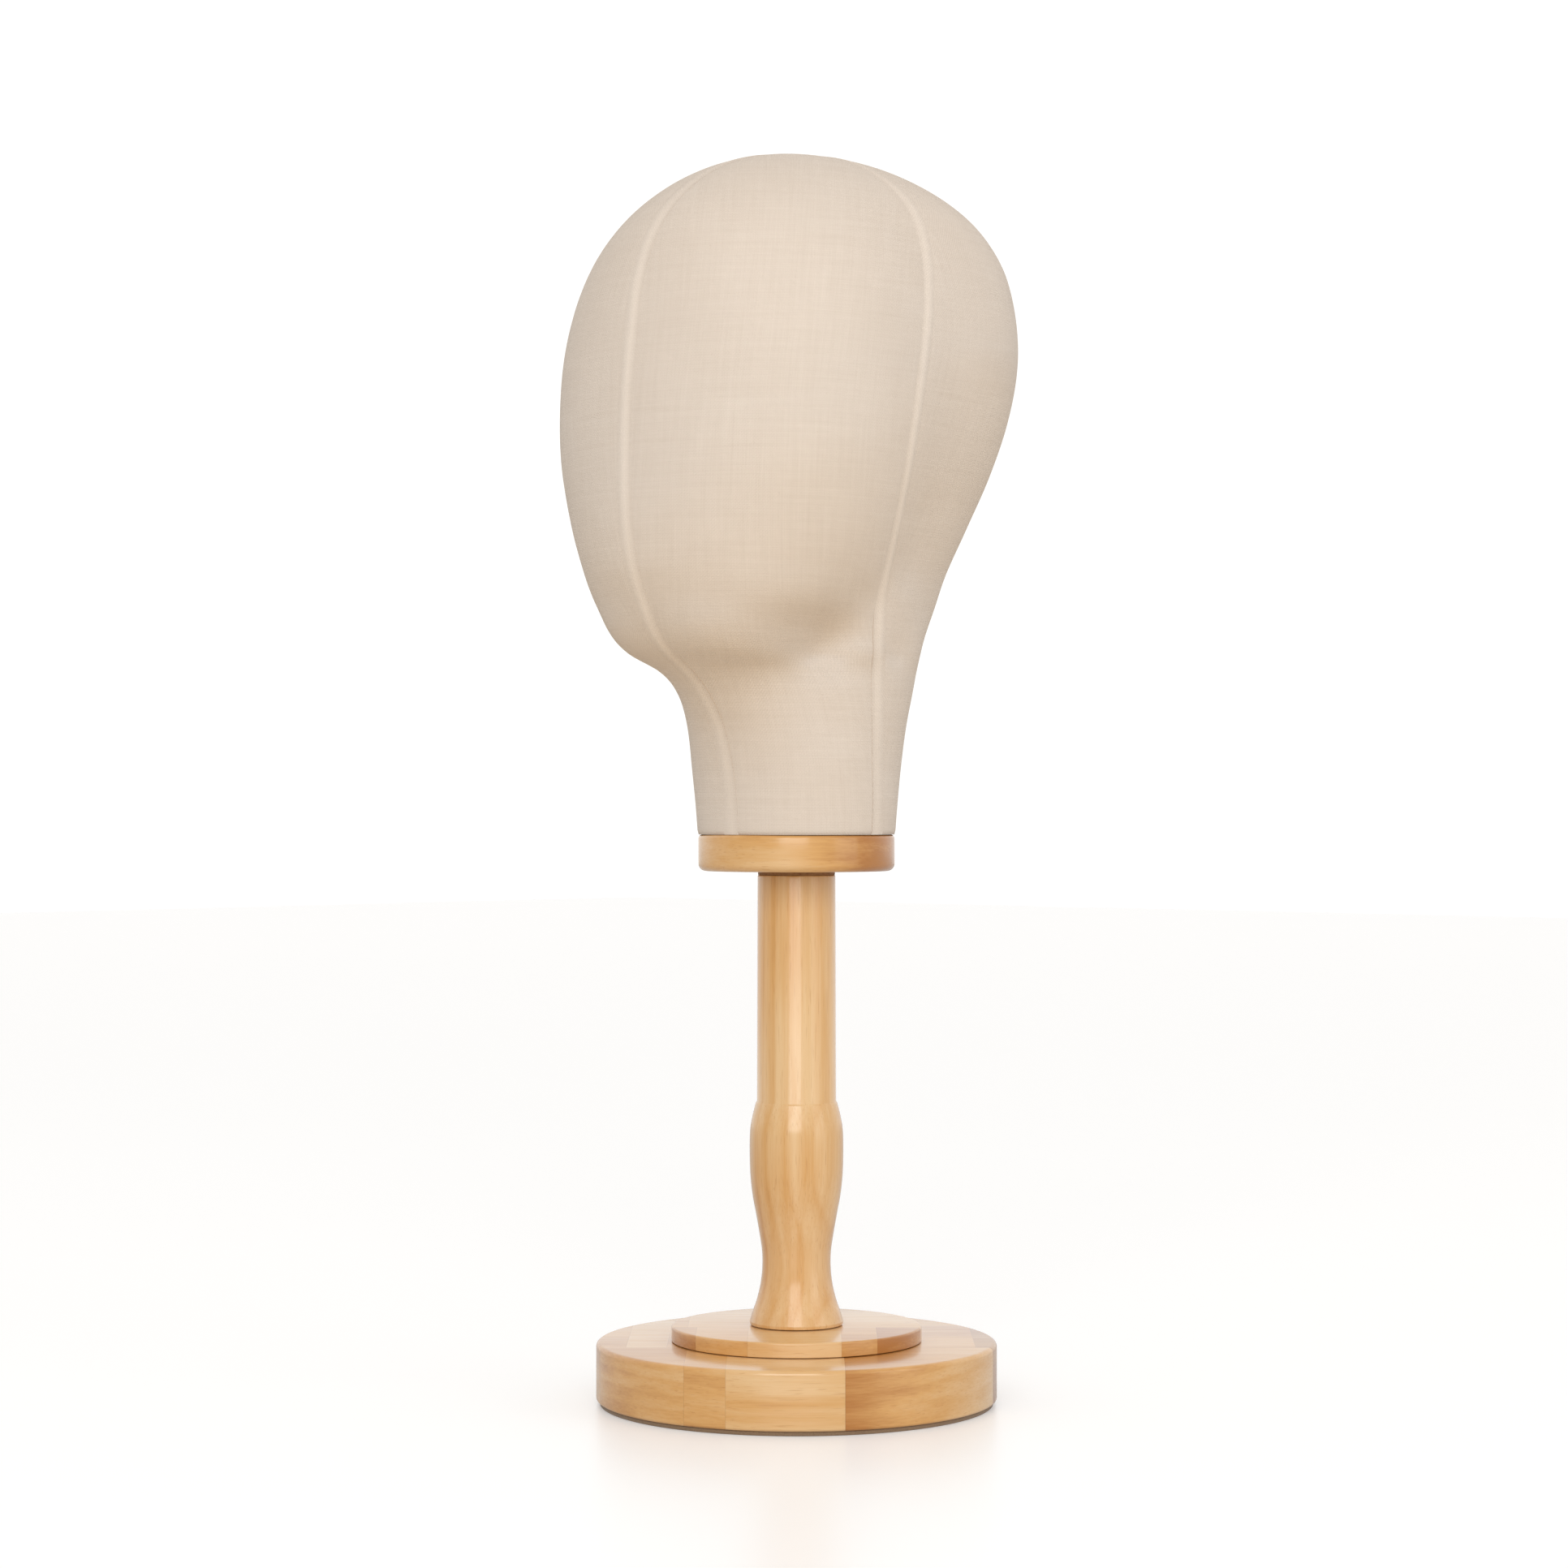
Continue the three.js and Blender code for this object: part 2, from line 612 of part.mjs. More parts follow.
function sideSeam(name, side) {
  const tip = placeAtRadius(SIDE_SEAM_TIP_RADIUS);
  const line = Array.from({ length: HEAD_ROWS + 1 }, (_, row) => {
    const place = (row * tip) / HEAD_ROWS;
    return seamStation(place, side * sideSeamAngle(place));
  });
  return seamBand(name, line);
}

function buildStand() {
  const stand = new THREE.Group();
  stand.add(basePad(), baseDisc(), plinthDisc(), post(), baseBolt(), baseWasher(), postInsert());
  return stand;
}

function buildHead() {
  const head = new THREE.Group();
  head.add(neckDisc(), neckBlock(), swivelBush(), ...discScrews(), headCore());
  head.add(linenPanel("linen_front_right", -1, true), linenPanel("linen_front_left", 1, true));
  head.add(linenPanel("linen_back_right", -1, false), linenPanel("linen_back_left", 1, false));
  head.add(centreSeam(), sideSeam("seam_right", -1), sideSeam("seam_left", 1));
  return head;
}

const headStand = new THREE.Group();
headStand.add(buildStand(), swivelWasher(), buildHead());

export default headStand;
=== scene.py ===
"""Mannequin head stand: the linen cover, the seams and the lacquered wood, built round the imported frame."""

import math

import bpy
import numpy as np
from bpy.props import FloatProperty, FloatVectorProperty, PointerProperty
from mathutils import Matrix, Vector


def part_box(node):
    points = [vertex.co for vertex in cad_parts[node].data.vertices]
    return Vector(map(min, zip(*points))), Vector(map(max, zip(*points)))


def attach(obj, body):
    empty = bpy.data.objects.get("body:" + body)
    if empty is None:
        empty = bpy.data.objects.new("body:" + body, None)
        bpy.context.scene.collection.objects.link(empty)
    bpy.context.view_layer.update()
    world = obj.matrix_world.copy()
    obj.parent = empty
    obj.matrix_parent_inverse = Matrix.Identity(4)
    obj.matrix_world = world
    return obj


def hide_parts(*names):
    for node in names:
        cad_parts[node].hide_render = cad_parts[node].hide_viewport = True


bl_info = {
    "name": "Mannequin Head Stand",
    "version": (1, 0, 0),
    "blender": (4, 5, 0),
    "location": "View3D > Sidebar > Head Stand",
    "description": "Builds a linen-covered display head on a turned and lacquered wooden post",
    "category": "Object",
}

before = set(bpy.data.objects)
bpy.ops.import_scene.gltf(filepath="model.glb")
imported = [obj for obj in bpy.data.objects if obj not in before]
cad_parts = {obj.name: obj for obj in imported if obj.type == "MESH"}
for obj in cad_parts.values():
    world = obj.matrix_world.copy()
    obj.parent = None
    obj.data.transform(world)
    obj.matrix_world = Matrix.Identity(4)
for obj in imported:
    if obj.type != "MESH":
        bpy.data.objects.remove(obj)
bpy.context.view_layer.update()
MM = 0.001

# Head: height of each section, then its radius from the post's axis in nine directions, in millimetres,
# evenly spaced from the face past the cheek, the ear in the middle and on to the back of the head
HEAD_SECTIONS = (
    (227, 38.5, 39, 39.5, 39.5, 39.5, 39.5, 39.5, 39.5, 39.5),
    (240, 39.5, 40, 40.5, 40.5, 40.5, 40.5, 40.5, 40.5, 40.5),
    (255, 42, 42, 42, 42, 41.5, 41.5, 42, 42.5, 43),
    (270, 47, 46, 43.5, 43, 43, 43.5, 44, 45, 45.5),
    (283, 56, 52, 45.5, 44.5, 44.5, 45.5, 46.5, 48, 48.5),
    (291, 65, 59.5, 47, 45, 45.5, 46.5, 48, 50, 51),
    (298, 75.5, 73, 49.5, 46, 46.5, 47.5, 49.5, 52, 53),
    (306, 83, 81, 57, 48, 48, 49, 51.5, 54.5, 55.5),
    (318, 89.5, 86.5, 72, 55.5, 50.5, 51, 55, 59, 60),
    (332, 95, 91.5, 80, 64.5, 54, 54, 59.5, 64.5, 66),
    (350, 98, 95.5, 86.5, 72.5, 60.5, 60.5, 67.5, 73, 74.5),
    (372, 98.5, 97.5, 91.5, 78.5, 68, 68.5, 77, 83, 84.5),
    (395, 97.5, 97.5, 92.5, 81, 72.5, 74.5, 84.5, 91, 92.5),
    (418, 95, 95, 91, 81, 74, 78.5, 88.5, 95, 97),
    (440, 91, 90, 85, 77, 71.5, 76, 86.5, 94, 95.5),
    (458, 83.5, 81.5, 75.5, 69, 66, 71.5, 81, 87.5, 88.5),
    (474, 70, 67.5, 61.5, 56.5, 56, 61.5, 69, 74, 75.5),
    (487.5, 49.5, 47.5, 43, 40, 39.5, 43.5, 49, 53, 53.5),
    (495.7, 25.5, 24.5, 22.5, 21, 21, 23, 25.5, 27.5, 28),
    (498.5, 0, 0, 0, 0, 0, 0, 0, 0, 0),
)
EAR_COLUMN = 4
LAST_SECTION = len(HEAD_SECTIONS) - 1
HEAD_FOOT = HEAD_SECTIONS[0][0] * MM
CROWN = HEAD_SECTIONS[-1][0] * MM

# Crown: its curve is evened out over this share of a section, from none to all of it between these places
CROWN_EASE = 0.75
CROWN_EASE_FROM = (LAST_SECTION - 4, LAST_SECTION - 2)
CROWN_EASE_STEPS = 5
CROWN_SAMPLES = 2001

# Linen panels: grid, top end, rolled hem, and the dip and the puckers beside a seam
PANEL_ROWS = 190
PANEL_COLUMNS = 56
PANEL_SAMPLES = 900
PANEL_TIP_RADIUS = 3.2 * MM
HEM_ROLL = 0.7 * MM
TUCK_SHARE = 0.3
DIP_DEPTH = 0.11 * MM
DIP_REACH = 2.6 * MM
PUCKER_DEPTH = 0.05 * MM
PUCKER_REACH = 4 * MM
STEEPEST = 0.85

# Seams: the side seam's angle from the face, how far it bows forward, and the shape of the rolled band
SIDE_SEAM_ANGLE = math.radians(96)
SIDE_SEAM_BEND = math.radians(16.5)
SIDE_SEAM_TIP_RADIUS = 1.2 * MM
SEAM_SAMPLES = 700
SEAM_TOP_POINTS = 13
SEAM_UNDER_POINTS = 5
SEAM_UNDER_WIDTH = 0.9
SEAM_STEP = 1.6 * MM
SEAM_TUCK = 0.12 * MM
SEAM_DEPTH = 0.75 * MM
SEAM_GATHER = 0.1
# Share of a seam's height that is left at heights on the head, from the neck to the crown
SEAM_LEVELS = (0.23, 0.3, 0.43, CROWN)
SEAM_SHARES = (0.5, 1.0, 1.0, 0.5)

# Turned pieces: steps round them and round a fillet, and how far they fill the gap to what they touch
ROUND_STEPS = 160
FILLET_STEPS = 6
SHARP_ANGLE = math.radians(40)
SQUEEZE = 0.25 * MM

# Base and neck: radii of the holes, and the two faces of the web that the bolt goes through
COUNTERBORE_RADIUS = 13.5 * MM
TENON_HOLE_RADIUS = 12.3 * MM
WEB_FOOT = 10 * MM
WEB_TOP = 16.7 * MM
DISC_BORE = 11.8 * MM
WASHER_BORE = 10.4 * MM
BUSH_BORE = 10.12 * MM

# Post: its shoulder's height, and the radius or the radius and height of its parts
POST_SHOULDER = 210.8 * MM
SPIGOT_RADIUS = 10 * MM
TENON_RADIUS = 12 * MM
SHAFT_RADIUS = 15.6 * MM
SHAFT_FOOT = (15.8 * MM, 120.6 * MM)
COLLAR = (16.35 * MM, 119.7 * MM)
FOOT_RADIUS = 18.7 * MM
FOOT_GAP = 0.3 * MM
INSERT_HOLE = (6.3 * MM, 33.3 * MM)
BOLT_HOLE = (4.3 * MM, 62 * MM)
SWELLING_ROWS = 90
# Radius and height of the turned swelling, from under the collar down to the foot, in millimetres
BALUSTER = (
    (17.5, 115.2),
    (18.5, 109.5),
    (18.75, 102),
    (18.5, 91.5),
    (17.6, 83),
    (16.4, 76.5),
    (14.8, 67.5),
    (13.8, 60.5),
    (13.7, 54),
    (14.4, 47.5),
    (15.9, 41.2),
    (17.6, 36.4),
    (18.4, 33.6),
)

# Glued boards: where the front strip ends, where its blocks meet, in millimetres from the post's axis,
# and how dark each block is at its left and at its right end
BASE_STRIP_END = -20
BASE_JOINTS = (-95, -43, -27, 18.5, 95)
# The last block lightens towards its right end: the dark at its left is the wood's own tone, the light at its
# right end is painted light and reflection on the base's right side
BASE_TONES_AND_PAINTED_LIGHT = ((0.22, 0.22), (0.3, 0.3), (-0.12, -0.12), (0.6, -0.1))
PLINTH_STRIP_END = -8
PLINTH_JOINTS = (-80, -39.5, -19, 17.5, 31.5, 80)
PLINTH_TONES = ((0.7, 0.7), (0.4, 0.5), (-0.05, -0.05), (0.4, 0.35), (0.85, 0.4))
GLUE_LINE_SHARE = 0.004
GLUE_TINT = (0.25, 0.1, 0.025, 1)
# Strips behind the front one: how far they are slid along, and how much their blocks differ in tone
STRIP_SLIDE = 30 * MM
STRIP_SLIDE_TURN = 2.2
BACK_TONE_SPREAD = 0.6
# A flat-sawn board's figure is drawn out across it: the share of its depth, height and length that counts
FLAT_SAWN = (0.3, 1.0, 1.0)
# Where the neck disc's wood starts to darken across the front, and where it is darkest
DISC_DARKENS = (-4 * MM, 32 * MM)
LACQUER = {"Coat Weight": 0.85, "Coat Roughness": 0.16, "Coat IOR": 1.5, "Specular IOR Level": 0.4}

# Speckled finishes: two colours, how fine and how deep the speckles are, and the shader's constants
FELT_DARK = (0.2, 0.13, 0.08)
SPECKLES = {
    "foam": ((0.86, 0.82, 0.72), (0.74, 0.68, 0.56), 500.0, 0.0004, {"Roughness": 0.9}),
    # Painted shadow: the washer's dark brown stands in for the shadow under the neck disc
    "nylon dark as shadow": (
        (0.36, 0.18, 0.07), (0.26, 0.12, 0.045), 900.0, 0.00003,
        {"Roughness": 0.55, "Specular IOR Level": 0.2},
    ),
    "zinc": (
        (0.62, 0.62, 0.64), (0.5, 0.51, 0.54), 700.0, 0.00002, {"Roughness": 0.3, "Metallic": 1.0}
    ),
    "brass": (
        (0.68, 0.46, 0.16), (0.58, 0.37, 0.12), 700.0, 0.00002, {"Roughness": 0.28, "Metallic": 1.0}
    ),
}

# Camera: azimuth round the stand, distance from the post, height, lens and the point it looks at
VIEW_AZIMUTH = math.radians(42)
VIEW_DISTANCE = 1.43
VIEW_HEIGHT = 0.2361
VIEW_LENS = 82.0
VIEW_TARGET_SIDE = -0.005
VIEW_TARGET_HEIGHT = 0.2472

# Lights: azimuth from the camera in degrees, distance, height, power, size and colour
LIGHTS = {
    "key": (-4, 2.2, 1.05, 22, (1.4, 1.4), (1.0, 0.985, 0.965)),
    "fill": (60, 2.2, 0.8, 6.5, (1.2, 1.6), (1.0, 0.99, 0.98)),
}
LIT_POINT = Vector((0, 0, 0.3))
TENT_COLOUR = (1.0, 0.985, 0.965, 1)
TENT_LIGHT = 0.69
TENT_SEEN = 1.1
# How bright the tent is where it is mirrored: in front of the stand and behind it
TENT_MIRRORED = (0.4, 1.05)
FLOOR_HALF = 6.0


def length(name, description, default, low, high):
    """A length property with its range."""
    return FloatProperty(
        name=name, description=description, default=default, min=low, max=high, unit="LENGTH", precision=5
    )


def colour(name, description, default):
    """A colour property with the usual range."""
    return FloatVectorProperty(
        name=name, description=description, default=default, min=0, max=1, size=3, subtype="COLOR"
    )


class HeadStandSizes(bpy.types.PropertyGroup):
    """Sizes of the cover, its seams and the wood's figure"""

    thread_pitch: length(
        "Thread pitch", "Distance from one linen thread to the next", 0.00066, 0.0003, 0.002
    )
    linen_thickness: length(
        "Linen thickness", "Thickness of a linen panel with its backing", 0.0009, 0.0003, 0.0012
    )
    seam_width: length("Seam width", "Width of a rolled seam", 0.0076, 0.002, 0.012)
    seam_height: length(
        "Seam height", "How far a rolled seam stands above the panels", 0.00035, 0.0002, 0.0015
    )
    stitch_pitch: length(
        "Stitch pitch", "Distance between the stitches that pull the linen to a seam", 0.0042, 0.002, 0.01
    )
    ring_pitch: length(
        "Growth ring pitch", "Distance between growth rings in the wood", 0.007, 0.001, 0.02
    )
    strip_width: length("Strip width", "Width of the edge-glued strips in the base", 0.06, 0.01, 0.1)


class HeadStandColours(bpy.types.PropertyGroup):
    """Colours of the linen, the wood and the fittings"""

    # The linen is mixed between these two by the weave's tone: its thread pattern is painted shade, lighter
    # on each thread's middle and darker between threads; its slubs, flecks and cloudy patches are the linen's
    # own colour
    linen_light: colour("Linen, light", "Linen threads on the lit side", (0.8, 0.695, 0.595))
    linen_dark: colour("Linen, dark", "Linen between the threads and in its slubs", (0.68, 0.572, 0.472))
    # Painted shade: multiplier that darkens and warms the linen where it faces down, standing in for shade
    # and warm light bounced off the wood
    linen_painted_shade: colour(
        "Linen, underside", "What the linen's colour is multiplied by where it faces down", (1.0, 0.9, 0.76)
    )
    # Painted highlight: colour of the seam's linen along its raised crest
    seam_painted_highlight: colour("Seam, light", "Rolled seam at its crest", (0.86, 0.745, 0.635))
    wood_light: colour("Wood, light", "Palest early wood", (0.8, 0.53, 0.265))
    wood_middle: colour("Wood, middle", "Common tone of the wood", (0.7, 0.375, 0.12))
    wood_dark: colour("Wood, dark", "Late wood and dark streaks", (0.47, 0.185, 0.035))
    felt: colour("Felt", "Pad under the base", (0.32, 0.21, 0.12))


class HeadStandSettings(bpy.types.PropertyGroup):
    """Everything a user would change on the head stand"""

    sizes: PointerProperty(type=HeadStandSizes)
    colours: PointerProperty(type=HeadStandColours)


class Wiring:
    """Adds nodes to a tree and joins them, by a value or by another node's socket."""

    def __init__(self, tree):
        self.tree = tree

    def feed(self, socket, value):
        if isinstance(value, bpy.types.NodeSocket):
            self.tree.links.new(value, socket)
        else:
            socket.default_value = value

    def node(self, kind, inputs=None, **settings):
        node = self.tree.nodes.new(kind)
        for key, value in settings.items():
            setattr(node, key, value)
        for key, value in (inputs or {}).items():
            self.feed(node.inputs[key], value)
        return node

    def math(self, operation, *values, clamp=False):
        node = self.node("ShaderNodeMath", operation=operation, use_clamp=clamp)
        for socket, value in zip(node.inputs, values):
            self.feed(socket, value)
        return node.outputs[0]

    def plus(self, first, second):
        return self.math("ADD", first, second)

    def times(self, first, second):
        return self.math("MULTIPLY", first, second)

    def vector(self, operation, first, second):
        node = self.node("ShaderNodeVectorMath", {0: first, 1: second}, operation=operation)
        return node.outputs["Vector"]

    def split(self, vector):
        return self.node("ShaderNodeSeparateXYZ", {0: vector}).outputs

    def join(self, x, y, z):
        return self.node("ShaderNodeCombineXYZ", {0: x, 1: y, 2: z}).outputs[0]

    def mix(self, factor, first, second):
        node = self.node("ShaderNodeMix", data_type="RGBA")
        self.feed(node.inputs["Factor"], factor)
        self.feed(node.inputs["A"], first)
        self.feed(node.inputs["B"], second)
        return node.outputs["Result"]

    def span(self, value, low, high, to_low=0.0, to_high=1.0):
        inputs = {"Value": value, "From Min": low, "From Max": high, "To Min": to_low, "To Max": to_high}
        return self.node("ShaderNodeMapRange", inputs, clamp=True).outputs["Result"]

    def noise(self, vector, scale, detail=2.0, roughness=0.5, stretch=None):
        """Noise from 0 to 1. It is drawn out along a direction whose share in stretch is small."""
        if stretch:
            vector = self.vector("MULTIPLY", vector, stretch)
        inputs = {"Vector": vector, "Scale": scale, "Detail": detail, "Roughness": roughness}
        return self.node("ShaderNodeTexNoise", inputs).outputs["Fac"]

    def dress(self, shader, tint, roughness, height, distance, strength):
        """Joins a colour, a roughness and a relief that change over the surface to the shader."""
        self.feed(shader["Base Color"], tint)
        self.feed(shader["Roughness"], roughness)
        bump = self.node("ShaderNodeBump", {"Height": height, "Distance": distance, "Strength": strength})
        self.feed(shader["Normal"], bump.outputs["Normal"])


def rgba(value):
    return (*value, 1.0)


def effect_group(name, inputs, outputs):
    """A new node group with the given sockets: its wiring, its inputs and its output node."""
    tree = bpy.data.node_groups.new(name, "ShaderNodeTree")
    for socket, (kind, default) in inputs.items():
        made = tree.interface.new_socket(name=socket, in_out="INPUT", socket_type=kind)
        if default is not None:
            made.default_value = default
    for socket, kind in outputs.items():
        tree.interface.new_socket(name=socket, in_out="OUTPUT", socket_type=kind)
    wires = Wiring(tree)
    given = wires.node("NodeGroupInput").outputs
    result = wires.node("NodeGroupOutput").inputs
    return wires, given, result


def plain_weave_group():
    """Over-and-under threads along the map's two directions, with slubs and flecks."""
    wires, given, result = effect_group(
        "Plain weave",
        {"Map": ("NodeSocketVector", None), "Pitch": ("NodeSocketFloat", 0.0007)},
        {"Tone": "NodeSocketFloat", "Height": "NodeSocketFloat"},
    )
    cloth = given["Map"]
    across, along, _ = wires.split(cloth)
    sway = wires.noise(cloth, 90.0)
    warp = wires.plus(wires.math("DIVIDE", across, given["Pitch"]), wires.times(sway, 1.6))
    weft = wires.plus(wires.math("DIVIDE", along, given["Pitch"]), wires.times(sway, 1.2))
    warp_round = wires.math("ABSOLUTE", wires.math("SINE", wires.times(warp, math.pi)))
    weft_round = wires.math("ABSOLUTE", wires.math("SINE", wires.times(weft, math.pi)))
    crossing = wires.plus(wires.math("FLOOR", warp), wires.math("FLOOR", weft))
    over = wires.math("GREATER_THAN", wires.math("PINGPONG", crossing, 1.0), 0.5)
    under = wires.math("SUBTRACT", 1.0, over)
    thread = wires.plus(wires.times(over, warp_round), wires.times(under, weft_round))
    slub, broad = (
        wires.plus(
            wires.noise(cloth, scale, detail, stretch=(1.0, share, 1.0)),
            wires.noise(cloth, scale, detail, stretch=(share, 1.0, 1.0)),
        )
        for scale, detail, share in ((1400.0, 3.0, 0.02), (420.0, 2.0, 0.06))
    )
    fleck = wires.span(wires.noise(cloth, 900.0, detail=1.0), 0.68, 0.8)
    cloudy = wires.span(wires.noise(cloth, 30.0, detail=3.0), 0.3, 0.7, -0.46, -0.3)
    tone = wires.math("MULTIPLY_ADD", slub, 0.5, wires.math("MULTIPLY_ADD", broad, 0.36, cloudy))
    # Painted shade of the round threads: lighter at each thread's middle, darker at its edges where threads
    # meet
    tone = wires.math("MULTIPLY_ADD", thread, 0.24, tone)
    tone = wires.math("SUBTRACT", tone, wires.times(fleck, 0.3), clamp=True)
    height = wires.math("MULTIPLY_ADD", slub, 0.25, wires.times(thread, 0.75))
    wires.feed(result["Tone"], tone)
    wires.feed(result["Height"], height)
    return wires.tree


def wood_figure_group():
    """Growth rings round a far pith, broad streaks, fibres and pores. The grain runs along the map's Z."""
    wires, given, result = effect_group(
        "Wood figure",
        {
            "Map": ("NodeSocketVector", None),
            "Ring Pitch": ("NodeSocketFloat", 0.005),
            "Ring Depth": ("NodeSocketFloat", 0.2),
            "Light": ("NodeSocketColor", (0.8, 0.5, 0.25, 1)),
            "Middle": ("NodeSocketColor", (0.65, 0.38, 0.15, 1)),
            "Dark": ("NodeSocketColor", (0.4, 0.18, 0.05, 1)),
            "Tone": ("NodeSocketFloat", 0.0),
        },
        {"Color": "NodeSocketColor", "Roughness": "NodeSocketFloat", "Height": "NodeSocketFloat"},
    )
    place = given["Map"]
    wander = wires.noise(place, 14.0, detail=1.0, stretch=(1.0, 1.0, 0.12))
    x, y, _ = wires.split(place)
    reach = wires.math("SQRT", wires.plus(wires.times(x, x), wires.times(y, y)))
    phase = wires.math("DIVIDE", reach, given["Ring Pitch"])
    phase = wires.math("FRACT", wires.math("MULTIPLY_ADD", wander, 6.0, phase))
    rising = wires.span(phase, 0.1, 0.8)
    falling = wires.span(phase, 0.82, 1.0)
    ring = wires.math("SUBTRACT", wires.math("POWER", rising, 1.6), falling, clamp=True)
    broad = wires.noise(place, 42.0, detail=1.0, stretch=(1.0, 1.0, 0.3))
    streak = wires.noise(place, 190.0, detail=3.0, stretch=(1.0, 1.0, 0.05))
    fibre = wires.noise(place, 1500.0, stretch=(1.0, 1.0, 0.018))
    pore = wires.noise(place, 2600.0, detail=0.0, stretch=(1.0, 1.0, 0.045))
    pore = wires.span(pore, 0.68, 0.8)
    depth = wires.math("MULTIPLY_ADD", ring, given["Ring Depth"], given["Tone"])
    depth = wires.plus(depth, wires.span(broad, 0.35, 0.68, -0.08, 0.3))
    depth = wires.plus(depth, wires.span(streak, 0.35, 0.7, -0.05, 0.26))
    depth = wires.math("ADD", depth, wires.span(fibre, 0.3, 0.7, -0.05, 0.08), clamp=True)
    pale = wires.mix(wires.span(depth, 0.0, 0.5), given["Light"], given["Middle"])
    tinted = wires.mix(wires.span(depth, 0.5, 1.0), pale, given["Dark"])
    shaded = wires.mix(wires.times(pore, 0.3), tinted, given["Dark"])
    wires.feed(result["Color"], shaded)
    wires.feed(result["Roughness"], wires.span(fibre, 0.2, 0.8, 0.34, 0.46))
    wires.feed(result["Height"], wires.math("SUBTRACT", 1.0, pore))
    return wires.tree


def glued_blocks_group():
    """Edge-glued strips of end-jointed blocks along X. Each block has its own figure."""
    wires, given, result = effect_group(
        "Glued blocks",
        {
            "Map": ("NodeSocketVector", None),
            "Strip": ("NodeSocketFloat", 0.0),
            "Block": ("NodeSocketFloat", 0.0),
            "Seed": ("NodeSocketFloat", 0.0),
        },
        {"Map": "NodeSocketVector", "Tone": "NodeSocketFloat", "Glue Line": "NodeSocketFloat"},
    )
    x, y, z = wires.split(given["Map"])
    block, strip = given["Block"], given["Strip"]
    cell = wires.join(wires.math("FLOOR", block), wires.math("FLOOR", strip), given["Seed"])
    chance = wires.node("ShaderNodeTexWhiteNoise", {"Vector": cell}, noise_dimensions="3D").outputs
    strip_line, block_line = (
        wires.span(wires.math("PINGPONG", count, 0.5), 0.0, GLUE_LINE_SHARE, 1.0, 0.0)
        for count in (strip, block)
    )
    board = wires.vector("MULTIPLY", wires.join(y, z, x), FLAT_SAWN)
    pith = wires.vector("ADD", chance["Color"], (-0.5, 1.0, 0.0))
    pith = wires.vector("MULTIPLY", pith, (0.06, 0.06, 1.0))
    wires.feed(result["Map"], wires.vector("ADD", board, pith))
    wires.feed(result["Tone"], chance["Value"])
    wires.feed(result["Glue Line"], wires.math("MAXIMUM", strip_line, block_line))
    return wires.tree


GROUP_MAKERS = {
    "Plain weave": plain_weave_group,
    "Wood figure": wood_figure_group,
    "Glued blocks": glued_blocks_group,
}


def place_group(wires, name, **inputs):
    """Places the named group, made the first time. Underscores stand for spaces in its inputs' names."""
    tree = bpy.data.node_groups.get(name) or GROUP_MAKERS[name]()
    node = wires.node("ShaderNodeGroup", node_tree=tree)
    for key, value in inputs.items():
        wires.feed(node.inputs[key.replace("_", " ")], value)
    return node.outputs


def mapped(wires, location=(0, 0, 0), rotation=(0, 0, 0)):
    """Object coordinates, turned and then moved."""
    coordinates = wires.node("ShaderNodeTexCoord").outputs["Object"]
    inputs = {"Vector": coordinates, "Location": location, "Rotation": rotation}
    return wires.node("ShaderNodeMapping", inputs, vector_type="POINT").outputs["Vector"]


def new_material(name, **constants):
    """A material with its Principled BSDF: its wiring, the shader's inputs and the material."""
    material = bpy.data.materials.new(name)
    material.use_nodes = True
    wires = Wiring(material.node_tree)
    shader = material.node_tree.nodes["Principled BSDF"]
    for socket, value in constants.items():
        shader.inputs[socket].default_value = value
    return wires, shader.inputs, material


def painted_seam_highlight(wires, threads, width):
    """How much a seam's linen is lightened as a painted highlight: most along its crest, less towards the
    crown and on the neck.
    """
    away = wires.math("ABSOLUTE", wires.split(threads)[0])
    height = wires.split(mapped(wires))[2]
    crest = wires.span(away, 0.12 * width, 0.44 * width, 1.0, 0.0)
    upper = wires.span(height, 0.43, CROWN, 1.0, 0.3)
    lower = wires.span(height, 0.25, 0.31, 0.55, 1.0)
    return wires.times(crest, wires.times(upper, lower))


def linen_material(name, is_seam=False):
    """Unbleached plain-weave linen, with painted shade where it faces down and a painted highlight along a
    seam's crest.
    """
    settings = bpy.context.scene.head_stand
    sizes, colours = settings.sizes, settings.colours
    wires, shader, material = new_material(name, **{
        "Sheen Weight": 0.12, "Sheen Roughness": 0.45, "Specular IOR Level": 0.25,
    })
    threads = wires.node("ShaderNodeUVMap", uv_map="cloth").outputs["UV"]
    cloth = place_group(wires, "Plain weave", Map=threads, Pitch=sizes.thread_pitch)
    tint = wires.mix(cloth["Tone"], rgba(colours.linen_dark), rgba(colours.linen_light))
    if is_seam:
        # Painted highlight along the seam's crest
        raised = wires.mix(cloth["Tone"], rgba(colours.linen_light), rgba(colours.seam_painted_highlight))
        tint = wires.mix(painted_seam_highlight(wires, threads, sizes.seam_width), tint, raised)
    # Painted shade: the linen is darker and warmer where it faces down, as under the jaw
    below = wires.node("ShaderNodeAttribute", attribute_name="painted_underside_shade").outputs["Fac"]
    shade = wires.mix(below, (1, 1, 1, 1), rgba(colours.linen_painted_shade))
    tint = wires.vector("MULTIPLY", tint, shade)
    roughness = wires.span(cloth["Tone"], 0.0, 1.0, 0.95, 0.82)
    wires.dress(shader, tint, roughness, cloth["Height"], 0.00013, 0.8)
    return material


